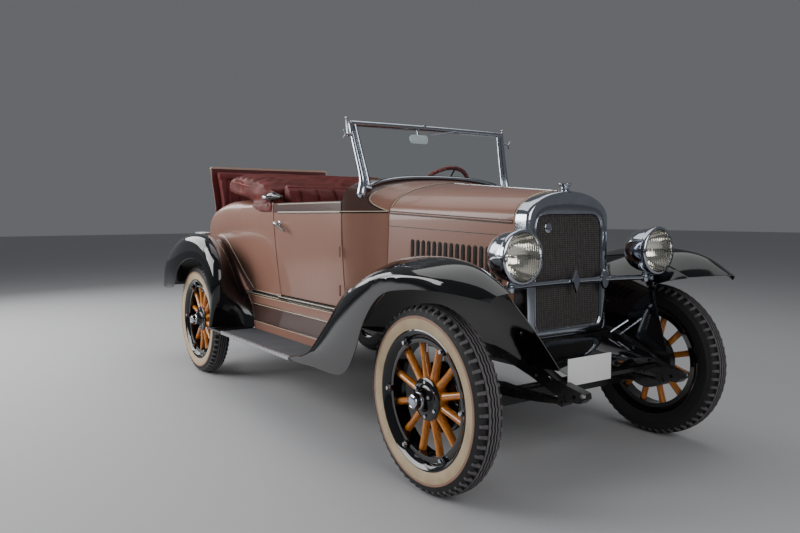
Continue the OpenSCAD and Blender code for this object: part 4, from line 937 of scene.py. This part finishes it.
box_between(bm, at(1700, -300, 438), at(1703, -44, 548), 1.2)
piece("blank_front_plate", bm, "root", "black_paint", plate_white)
plated("skirt_brace_rods", [run([(1470, y * 300, 556, 4), (1535, y * 392, 640, 4)]) for y in (1, -1)]
       + [run([(1440, y * 270, 566, 4), (1475, y * 350, 618, 4)]) for y in (1, -1)])
bm = bmesh.new()
for y in (1, -1):
    for x, z, half in ((1800, 424, 323), (1560, 465, 343), (1640, 465, 337)):
        nut(bm, (x + middle_offset, y * half, z), (0, y, 0), 11, 10, 0)
plated("frame_horn_nuts", bm)

# ---------------------------------------------------------------- windshield
# Two cast posts flare into feet on the cowl and carry a plated frame with one flat glass.
# Wing nuts at the top let the frame swing; a small mirror and a hand wiper hang from the rail.
screen_clear = glass("screen_glass", (0.93, 0.96, 0.96))
dress(screen_clear, "windshield_glass")
posts, nuts, fins = [], [], []
for y in (1, -1):
    posts.append(run([(x, y * w, z, r) for x, w, z, r in (
        (486, 510, 1196, 8), (484, 507, 1204, 20), (482, 503, 1222, 26), (481, 498, 1244, 25), (479, 494, 1262, 22),
        (476, 492, 1290, 18), (467, 494, 1330, 16), (440, 503, 1430, 15), (412, 514, 1540, 13.5),
        (401, 519, 1590, 12), (400, 519, 1598, 7))]))
    posts.append(run([(x, y * w, z, 11) for x, w, z in (
        (484, 462, 1268), (478, 462, 1290), (469, 466, 1330), (442, 477, 1430), (414, 489, 1540), (403, 495, 1588))]))
    posts.append(run([(500, y * 452, 1252, 5), (492, y * 470, 1254, 10),
                  (484, y * 484, 1262, 15)]))
    nuts.append(run([(419, y * 520, 1528, 9), (419, y * 548, 1528, 9), (419, y * 549, 1528, 6),
                     (419, y * 562, 1528, 6)]))
    fins.append(run([(404, y * 536, 1520, 5), (398, y * 536, 1560, 4.5), (392, y * 536, 1606, 4),
                     (391, y * 536, 1608, 7), (390, y * 536, 1618, 7)]))
    fins.append(run([(419, y * 556, 1528, 4), (424, y * 572, 1548, 3.5)]))
    fins.append(run([(419, y * 556, 1528, 4), (414, y * 572, 1508, 3.5)]))
plated("windshield_posts", posts, sides=6, stands_for=["windshield_frame"])
plated("windshield_wing_nuts", nuts + fins, sides=4)
arch = []
for y in stations(-478, 478, 60):
    hit = cowl_surface.ray_cast(at(478, y, 1500), Vector((0, 0, -1)))[0]
    arch.append((hit.x, hit.y, hit.z + 10 * mm, 10.5 * mm))
rails = [run([(402, y, 1588 + 3 * (1 - (y / 519) ** 2), 14) for y in stations(-515, 515, 30)]), arch]
plated("windshield_rails", rails, sides=5)
bm = bmesh.new()
box_between(bm, at(425, -164, 1500), at(433, -44, 1548))
rounded(bm, [e for e in bm.edges if abs((e.verts[0].co - e.verts[1].co).x) > 4 * mm], 18, 6)
rounded(bm, [e for e in bm.edges if e.calc_face_angle(0) > 1.2], 2)
# The mirror's back is a pale cyan grey: painted reflection of the bright room, laid in its colour.
mirror_back_painted_reflection = finish("mirror_back_painted_reflection", (0.56, 0.66, 0.68), (0.48, 0.58, 0.60), 12.0, (0.2, 0.3), 0.02)
piece("driving_mirror", bm, "root", "nickel", mirror_back_painted_reflection, sharp=40.0)
plated("mirror_bracket_and_wiper", [
    run([(412, -104, 1586, 4), (420, -104, 1560, 4), (424, -104, 1540, 5)]),
    run([(410, 205, 1592, 3), (424, 100, 1572, 2.5), (432, -30, 1548, 2.5)]),
    run([(402, -52, 1600, 8), (416, -52, 1602, 8)])])

# ---------------------------------------------------------------- front seat
# Sprung cushion and back in red brown leather, stuffed with horsehair and sewn in upright pleats.
# A plain padded roll runs along the top of the back, with a welt where it meets the pleats.
def grain(name, colour, second, folds=0.25):
    """Leather: fine pebbled grain, soft creases and rubbed paler places."""
    material = finish(name, colour, second, 7.0, (0.46, 0.62), 0.05)
    tree = material.node_tree
    shader = tree.nodes["Principled BSDF"]
    shader.inputs["Specular IOR Level"].default_value = 0.22
    place = tree.nodes.new("ShaderNodeTexCoord").outputs["Object"]
    pebble = tree.nodes.new("ShaderNodeTexVoronoi")
    pebble.inputs["Scale"].default_value = 420.0
    tree.links.new(place, pebble.inputs["Vector"])
    crease = noise(tree, place, 55.0, 4.0, 0.6)
    height = reckon(tree, "ADD", reckon(tree, "MULTIPLY", pebble.outputs["Distance"], 0.18),
                    reckon(tree, "MULTIPLY", crease, folds * 4))
    relief = shader.inputs["Normal"].links[0].from_node
    relief.inputs["Strength"].default_value = 0.55
    relief.inputs["Distance"].default_value = 0.0016
    tree.links.new(height, relief.inputs["Height"])
    rubbed = spread(tree, noise(tree, place, 16.0, 5.0, 0.65), 0.58, 0.74)
    tint(material, rubbed, tuple(c * 1.35 + 0.006 for c in colour))
    return material


seat_leather = grain("seat_leather", (0.175, 0.032, 0.032), (0.115, 0.021, 0.022))
boot_leather = grain("boot_leather", (0.150, 0.020, 0.014), (0.085, 0.013, 0.011), folds=0.4)
piping = grain("piping_leather", (0.30, 0.085, 0.070), (0.24, 0.06, 0.05))


def stuffed(bm, reach, voxel=9.0, pressure=4.0):
    """Blows a closed cover up as cloth, and holds each point within reach of where it was cut, in millimetres."""
    mesh = bpy.data.meshes.new("cover")
    bm.to_mesh(mesh)
    bm.free()
    cover = bpy.data.objects.new("cover", mesh)
    bpy.context.scene.collection.objects.link(cover)
    even = cover.modifiers.new("even", "REMESH")
    even.mode = "VOXEL"
    even.voxel_size = voxel * mm
    graph = bpy.context.evaluated_depsgraph_get()
    cut = bpy.data.meshes.new_from_object(cover.evaluated_get(graph))
    cover.modifiers.clear()
    cover.data = cut
    at_rest = [v.co.copy() for v in cut.vertices]
    cloth = cover.modifiers.new("cloth", "CLOTH")
    cloth.settings.quality = 4
    cloth.settings.use_pressure = True
    cloth.settings.uniform_pressure_force = pressure
    cloth.settings.tension_stiffness = cloth.settings.compression_stiffness = 12
    cloth.settings.bending_stiffness = 1.5
    cloth.settings.effector_weights.gravity = 0
    for step in range(1, 21):
        bpy.context.scene.frame_set(step)
    graph = bpy.context.evaluated_depsgraph_get()
    blown = bpy.data.meshes.new_from_object(cover.evaluated_get(graph))
    bpy.context.scene.frame_set(1)
    out = bmesh.new()
    out.from_mesh(blown)
    out.verts.ensure_lookup_table()
    for v, rest in zip(out.verts, at_rest):
        move = v.co - rest
        if move.length > reach * mm:
            v.co = rest + move * (reach * mm / move.length)
    bpy.data.objects.remove(cover)
    for _ in range(2):
        bmesh.ops.smooth_vert(out, verts=out.verts, factor=0.5, use_axis_x=True, use_axis_y=True, use_axis_z=True)
    return out


def refined(bm):
    bmesh.ops.subdivide_edges(bm, edges=bm.edges, cuts=1, use_grid_fill=True, smooth=0.6)
    return bm


def upholstered(name, bm, shape_of, node, body="root", slot="seat_leather"):
    """Moves each point of a cover along its normal by what shape_of gives in millimetres, and makes the cover a leather
    piece.
    """
    bm.normal_update()
    moves = [(v, v.normal * shape_of(v.co, v.normal) * mm) for v in bm.verts]
    for v, move in moves:
        v.co += move
    leather = boot_leather if slot == "boot_leather" else seat_leather
    made = piece(name, bm, body, slot, leather, sharp=180.0, stands_for=[node])
    return made


def prism(outline, low, high, rounding):
    """A closed block between two planes across the car, its outline given as (x, z) points."""
    bm = bmesh.new()
    verts = [bm.verts.new(at(x, low, z)) for x, z in outline]
    face = bm.faces.new(verts)
    made = bmesh.ops.extrude_face_region(bm, geom=[face])["geom"]
    bmesh.ops.translate(bm, verts=[v for v in made if isinstance(v, bmesh.types.BMVert)],
                        vec=Vector((0, (high - low) * mm, 0)))
    bmesh.ops.recalc_face_normals(bm, faces=bm.faces)
    rounded(bm, [e for e in bm.edges if e.calc_face_angle(0) > 0.9], rounding, 3)
    return bm


seat_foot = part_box("front_seat")[0].z / mm
pleat = 122.0


def pleats(across, z, low, high):
    """Depth of the sewn pleats at a place across the car."""
    if not low < z < high:
        return 0.0
    phase = (across / pleat + 0.5) % 1.0 - 0.5
    fade = min((z - low) / 25, (high - z) / 18, 1.0)
    crown = 6.0 * max(math.cos(phase * math.pi), 0) ** 0.5
    return fade * (crown - 16.0 * math.exp(-((abs(phase) - 0.5) * pleat / 6.5) ** 2))


def seam(place, line_at, depth, width=5):
    """Depth of a groove that a seam pulls in along a line."""
    return -depth * math.exp(-((place - line_at) / width) ** 2)


def cushion_sewing(p, n):
    """Pleats on a cushion's top."""
    return pleats(p.y / mm, 700 + n.z * 200, 820, 950) * 0.8 * max(n.z, 0)


def back_sewing(p, n):
    """Pleats on the front of the seat's back, and the seam under its roll."""
    return (pleats(p.y / mm, p.z / mm, 880, 1280) + seam(p.z / mm, 1284, 9)) * max(n.x, 0)


cover = stuffed(prism([(-268, seat_foot + 6), (84, seat_foot + 6), (98, 850), (100, 925), (60, 950), (-200, 944),
                       (-262, 934)], -508, 508, 14), 14)
upholstered("front_seat_cushion", refined(cover),
            lambda p, n: cushion_sewing(p, n) + seam(p.z / mm, 915, 5) * (abs(n.z) < 0.8), "front_seat")
cover = stuffed(prism([(-290, 890), (-388, 1270), (-408, 1300), (-440, 1310), (-462, 1296), (-496, 905), (-490, 885)],
                      -508, 508, 16), 13)
back_surface = surface_of(upholstered("front_seat_back", refined(cover), back_sewing, "front_seat"))


def welt(surface, places, direction, radius):
    """A round welt where rays towards some places meet a cover."""
    hits = [surface.ray_cast(spot - direction * 0.6, direction)[0] for spot in places]
    return [(*hit, radius * mm) for hit in hits if hit]


rods("seat_back_welt", [welt(back_surface, [at(-300, y, 1290) for y in stations(-500, 500, 60)], Vector((-1, 0, 0)),
                             3.2)], "root", "seat_leather", piping)

# ---------------------------------------------------------------- rumble seat
# The cushion lies behind the footwell; the back is the padding sewn to the inside of the lid.
# Both are in the same leather as the front seat, with a stuffed roll round the lid's padding.
rumble_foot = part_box("rumble_cushion")[0].z / mm
cover = stuffed(prism([(-1482, rumble_foot + 6), (-1108, rumble_foot + 6), (-1098, 780), (-1094, 846), (-1115, 862),
                       (-1180, 870), (-1420, 862), (-1462, 856), (-1480, 840)], -470, 470, 14), 12, 10)
upholstered("rumble_seat_cushion", refined(cover), cushion_sewing, "rumble_cushion")


def cover_of(node):
    """A cover cut a little smaller than a node's own shape."""
    bm = cad_copy(node)
    middle = sum((v.co for v in bm.verts), Vector()) / len(bm.verts)
    for v in bm.verts:
        v.co = middle + (v.co - middle) * 0.985
    return bm


cover = refined(stuffed(cover_of("rumble_lid_pad"), 9, 11))
pad_side, pad_top = (max(v.co[i] for v in cover.verts) for i in (1, 2))


def lid_sewing(p, n):
    """A stuffed roll round the padding's edge, and pleats inside it."""
    edge = min(pad_top - p.z, pad_side - abs(p.y)) / mm
    return (seam(edge, 62, 10, 7) + (pleats(p.y / mm, 1000, 900, 1100) * 0.7 if edge > 75 else 0)) * max(n.x, 0)


upholstered("rumble_lid_padding", cover, lid_sewing, "rumble_lid_pad", body="rumble_lid")

# ---------------------------------------------------------------- folded top in its boot
# The fabric top and its bows lie folded behind the seat inside a laced boot of red leather.
# The boot bulges over the bows and falls in loose folds at its sides, with a welt along each one.
def boot_folds(p, n):
    """Bows pushing up from inside, and creases that run back and down at the sides."""
    x, y, z = p.x / mm - middle_offset, p.y / mm, p.z / mm
    up = max(n.z, 0)
    bows = 5 * up * math.cos(x / 88 * math.tau)
    side = max(abs(n.y) - 0.25, 0)
    slanted = z + 0.28 * x
    creases = 7 * side * math.sin(slanted / 27 + 1.4 * math.sin(x / 130)) * (0.6 + 0.4 * math.sin(x / 57))
    loose = 4.5 * math.sin(x / 61 + 2 * math.sin(y / 190)) * math.sin(y / 83 + 1.3 * math.sin(x / 120))
    fine = 2.0 * math.sin((x + 0.6 * y) / 17 + 3 * math.sin(y / 70))
    rise = min(max((z - 1215) / 60, 0), 1)
    return (bows + creases + loose + fine) * (0.35 + 0.65 * rise) - 5


boot_surface = surface_of(upholstered("folded_top_boot", refined(stuffed(cover_of("top_boot"), 10, 14)), boot_folds,
                                      "top_boot", slot="boot_leather"))
for side, y in sides.items():
    places = [at(v.x, y * 700, v.z) for v in eased([(-1195, 0, 1362), (-1131, 0, 1350), (-1000, 0, 1330),
                                                    (-850, 0, 1310), (-700, 0, 1288), (-610, 0, 1268)])]
    rods(side + "_boot_welt", [welt(boot_surface, places, Vector((0, -y, 0)), 3.4)], "root", "boot_leather", piping)
    # the ends of the top's bows: a black socket with a plated knuckle in front of the boot
    rods(side + "_bow_socket", [
        run([(-500, y * 590, 1226, 8), (-478, y * 592, 1227, 20), (-430, y * 592, 1230, 25), (-380, y * 592, 1230, 23),
             (-330, y * 590, 1226, 15), (-305, y * 588, 1222, 6)]),
        run([(-430, y * 592, 1225, 10), (-432, y * 594, 1195, 8), (-436, y * 594, 1172, 9)])],
        "root", "black_paint", black_enamel, sides=5)
    plated(side + "_bow_knuckle", [
        run([(-566, y * 590, 1224, 9), (-560, y * 590, 1224, 14), (-520, y * 590, 1226, 15), (-512, y * 590, 1226, 10),
             (-496, y * 590, 1226, 10)]),
        run([(-448, y * 600, 1176, 9), (-448, y * 612, 1176, 9)])], sides=5)

# a flap of the boot falls over each side of the body, down to the belt at the door
for side, y in sides.items():
    rows, columns = 12, 30
    bm = bmesh.new()
    grid = []
    for x in stations(-890, -352, columns):
        low = 1138 + 96 * max(0.0, (-x - 560) / 330) ** 1.3
        column = []
        for j in range(rows + 1):
            z = low + (1290 - 62 * min(max((x + 600) / 248, 0), 1) - low) * j / rows
            reach = 0.0
            for surface in (tub_surface, boot_surface):
                hit = surface.ray_cast(at(x, y * 1300, z), Vector((0, -y, 0)), 0.9)[0]
                if hit:
                    reach = max(reach, hit.y * y)
            fold = 2.2 * math.sin(x / 21 + z / 34) * min(j / 3, 1)
            column.append([x, max(reach / mm, 540) + 7 + fold, z])
        grid.append(column)
    for _ in range(3):
        for i in range(columns + 1):
            for j in range(1, rows):
                grid[i][j][1] = max(grid[i][j][1], (grid[i][j - 1][1] + grid[i][j + 1][1]) / 2)
    verts = [[bm.verts.new(at(x, y * w, z)) for x, w, z in column] for column in grid]
    for a, b in zip(verts, verts[1:]):
        for j in range(rows):
            bm.faces.new((a[j], b[j], b[j + 1], a[j + 1]) if y < 0 else (a[j], a[j + 1], b[j + 1], b[j]))
    flap = piece(side + "_boot_flap", bm, "root", "boot_leather", boot_leather, sharp=180.0)
    thickened(flap, 4)
    smoothed(flap, 1)

# ---------------------------------------------------------------- steering wheel
# A red moulded rim on four dark steel spokes, with a plated hub and a horn button.
# The rim is thick and smooth, with finger grips on its underside.
wheel_joint = next(j for j in frame["joints"] if j["name"] == "steering_wheel_turn")
hub_place, hub_axis = Vector(wheel_joint["pos_m"]), Vector(wheel_joint["axis"]).normalized()
if hub_axis.z < 0:
    hub_axis = -hub_axis
rim_red = finish("rim_red", (0.20, 0.030, 0.028), (0.15, 0.020, 0.020), 14.0, (0.20, 0.34), 0.03, coat=0.3)
onto_column = Matrix.Translation(hub_place) @ Vector((0, 1, 0)).rotation_difference(hub_axis).to_matrix().to_4x4()
low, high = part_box("steering_wheel")
rim_reach = (high.y - low.y) / 2 / mm - 13
finger_grips = 40
bm = lathe([(rim_reach + 13 * math.cos(a), 12.6 * math.sin(a)) for a in stations(0, math.tau, 20)[:-1]], 120,
           closed=True)
for v in bm.verts:
    if v.co.y < -4 * mm:
        v.co.y += 1.6 * mm * max(math.cos(math.atan2(v.co.z, v.co.x) * finger_grips), 0)
bmesh.ops.transform(bm, matrix=onto_column, verts=bm.verts)
piece("steering_rim", bm, "steering_wheel", "wheel_red", rim_red, sharp=60.0, stands_for=["steering_wheel"])
bm = lathe([(0, 26), (14, 25), (20, 22), (24, 17), (27, 10), (28, 0), (28, -34), (22, -40), (12, -42), (12, -56),
            (0, -56)], 48)
bmesh.ops.transform(bm, matrix=onto_column, verts=bm.verts)
plated("steering_hub", bm, "steering_wheel", sharp=40.0)
spokes = []
for i in range(4):
    angle = math.radians(45 + 90 * i)
    out = Vector((math.cos(angle), 0, math.sin(angle)))
    spokes.append([(*(onto_column @ (out * r * mm + local(0, -6, 0) * max(1 - r / rim_reach, 0))), w * mm)
                   for r, w in ((20, 9), (60, 7), (120, 6), (170, 6), (rim_reach - 14, 8), (rim_reach, 9))])
rods("steering_spokes", spokes, "steering_wheel", "steel_dark", chassis_enamel, sides=4)

# ---------------------------------------------------------------- dashboard, pedals and levers
# A narrow black panel with four plain dials is let into the painted board.
# The gear and brake levers rise through the floor; the pedals come through the toe board.
dial_face = finish("dial_face", (0.55, 0.53, 0.47), (0.48, 0.46, 0.40), 30.0, (0.5, 0.6), 0.02)
face_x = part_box("dashboard")[0].x / mm - middle_offset
bm = bmesh.new()
for y, r in ((-110, 26), (-45, 40), (45, 40), (110, 26)):
    dial = lathe([(0, 5), (r - 5, 5), (r - 4, 9), (r, 9), (r + 2, 6), (r + 2, 0)], 40)
    for face in dial.faces:
        face.material_index = 1 if math.hypot(*face.calc_center_median().xz) < (r - 5) * mm else 0
    coloured(box_between(dial, local(-1, 5, 0), local(1, 6.4, r - 8)), 2)
    joined(bm, placed(dial, at(face_x, y, 1180), quarter))
coloured(box_between(bm, at(face_x - 3, -152, 1130), at(face_x + 0.5, 152, 1230), 1), 2)
piece("dashboard_dials", bm, "root", "nickel", nickel, dial_face, black_enamel, sharp=40.0)
rods("gear_and_brake_levers", [
    run([(330, 0, 616, 14), (325, 0, 640, 9), (270, 0, 780, 7), (205, -6, 935, 6),
     (200, -6, 950, 17), (196, -6, 968, 18), (192, -6, 982, 10)]),
    run([(350, -90, 616, 10), (330, -90, 760, 7), (290, -90, 900, 8),
     (280, -90, 950, 9)])], "root", "steel_dark", chassis_enamel, sides=4)
bm = bmesh.new()
for y in (255, 385):
    box_between(bm, at(520, y - 30, 700), at(528, y + 30, 765), 3)
box_between(bm, at(520, 165, 680), at(528, 200, 770), 3)
piece("pedal_pads", bm, "root", "steel_dark", chassis_enamel)
rods("pedal_arms", [run([(528, y, 730, 6), (583, y, 690, 6)]) for y in (255, 385, 182)], "root",
     "steel_dark", chassis_enamel)

# ---------------------------------------------------------------- door cards
# The inside of each door is covered by a stiff card in the seats' leather.
# It stops short of the sill and of the door's edges, so that it clears them as the door swings.
for side, y in sides.items():
    bm = bmesh.new()
    rows = []
    for z in stations(690, 1105, 10):
        hits = [door_surface[side].ray_cast(at(x, 0, z), Vector((0, y, 0)))[0] for x in stations(-305, 380, 16)]
        rows.append([bm.verts.new(hit - local(0, y * 1.6, 0)) for hit in hits])
    for low_row, high_row in zip(rows, rows[1:]):
        for a, b, c, d in zip(low_row, low_row[1:], high_row[1:], high_row):
            bm.faces.new((a, b, c, d) if y > 0 else (d, c, b, a))
    card = piece(side + "_door_card", bm, side + "_door", "seat_leather", seat_leather, sharp=60.0)
    thickened(card, 3)

# ---------------------------------------------------------------- running boards
# Pressed steel boards covered with ribbed blue grey rubber, edged with fluted bright aluminium.
# The ribs run along the car and end at the two fenders.
mat_rubber = finish("mat_rubber", (0.036, 0.038, 0.046), (0.058, 0.060, 0.070), 9.0, (0.55, 0.8), 0.3)
aluminium = finish("edge_aluminium", (0.50, 0.50, 0.52), (0.42, 0.42, 0.44), 25.0, (0.24, 0.36), 0.03, metal=1.0)
board_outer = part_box("running_boards")[1].y / mm
for side, y in sides.items():
    bm = bmesh.new()
    box_between(bm, at(-925, y * 602, 372), at(330, y * board_outer, 388), 3)
    piece(side + "_board", bm, "root", "chassis_black", chassis_enamel, stands_for=["running_boards"])
    bm = bmesh.new()
    for i in range(22):
        rib = 612 + 9.4 * i
        box_between(bm, at(-672, y * rib, 387.6), at(292, y * (rib + 6.2), 391), 0.9, 1)
    box_between(bm, at(-672, y * 608, 387.4), at(292, y * 822, 389.4))
    piece(side + "_board_mat", bm, "root", "step_rubber", mat_rubber)
    bm = bmesh.new()
    box_between(bm, at(-680, y * 822, 370), at(300, y * (board_outer + 4), 391.5), 4, 3)
    for i in range(122):
        flute = -674 + 8 * i
        box_between(bm, at(flute, y * 825, 388.5), at(flute + 4, y * (board_outer + 5.2), 392.6), 0.8, 1)
    piece(side + "_board_edge", bm, "root", "nickel", aluminium)

# ---------------------------------------------------------------- door handles, hood handles and small fittings
# Plated castings: T shaped door handles with a dark lever, a step pad on the right rear fender,
# tail lamp, hood handles, the doors' hinge barrels and the hinge rod that shows along the hood's top.
for side, y in sides.items():
    body = side + "_door"
    skin = met(door_surface[side], y, -296, 1066)[0].y / mm
    plated(side + "_door_handle", [
        run([(-296, skin + y * out, 1066, r) for out, r in ((-2, 17), (5, 16), (7, 9), (30, 8))]),
        run([(-306, skin + y * 32, 1072, 6), (-290, skin + y * 34, 1066, 11), (-262, skin + y * 34, 1060, 9)])],
        body, sides=5)
    rods(side + "_door_lever", [run([(-264, skin + y * 34, 1060, 8), (-220, skin + y * 36, 1044, 8),
                                     (-170, skin + y * 34, 1026, 6.5), (-160, skin + y * 33, 1022, 3)])],
         body, "black_paint", black_enamel, sides=4)
    line(side + "_door_hinges", rose_enamel, *(run([(423, skin - y * 2, z, 6), (423, skin - y * 2, z + 55, 6)])
                                               for z in (700, 900)))
    grips = []
    for x in (800, 1180):
        hit, normal = met(hood_surface[side], y, x, 745)
        grips.append([(*(hit + normal * out * mm + local(along, 0, 0)), 4.5 * mm) for along, out in
                      ((-40, -1), (-38, 12), (-20, 20), (20, 20), (38, 12), (40, -1))])
    plated(side + "_hood_grips", grips, side + "_hood")
hinge = run([(x, 0, 1282 + (1221 - 1282) * (x - hood_rear) / 742, 2.3) for x in stations(612, 1350, 12)])
plated("hood_hinge_rod", [hinge])
fender_surface = surface_of(rear_fenders)
bm = bmesh.new()
hit = fender_surface.ray_cast(at(-1395, -700, 1300), Vector((0, 0, -1)))[0]
box_between(bm, hit + local(-70, -38, -3), hit + local(70, 38, 7), 3)
for i in range(9):
    box_between(bm, hit + local(-62, -33 + 8 * i, 6), hit + local(62, -30 + 8 * i, 10), 0.8, 1)
piece("rumble_step_pad", bm, "root", "nickel", aluminium)
lamp_red = glass("tail_lamp_glass", (0.75, 0.03, 0.02))
tail_lamp = at(-2036, 470, 700)
bm = lathe([(0, -30), (22, -30), (32, -22), (34, -4), (34, 4), (31, 6), (31, 0)], 40)
piece("tail_lamp_body", placed(bm, tail_lamp, quarter), "root", "black_paint", black_enamel, sharp=40.0)
bm = lathe([(0, 10), (16, 9), (28, 5), (31, 3), (30, 0), (0, 4)], 40)
piece("tail_lamp_lens", placed(bm, tail_lamp, quarter), "root", "glass_clear", lamp_red, sharp=60.0)
rods("tail_lamp_arm", [run([(-2006, 470, 700, 9), (-1960, 470, 640, 8), (-1960, 440, 590, 8)])],
     "root", "black_paint", black_enamel)
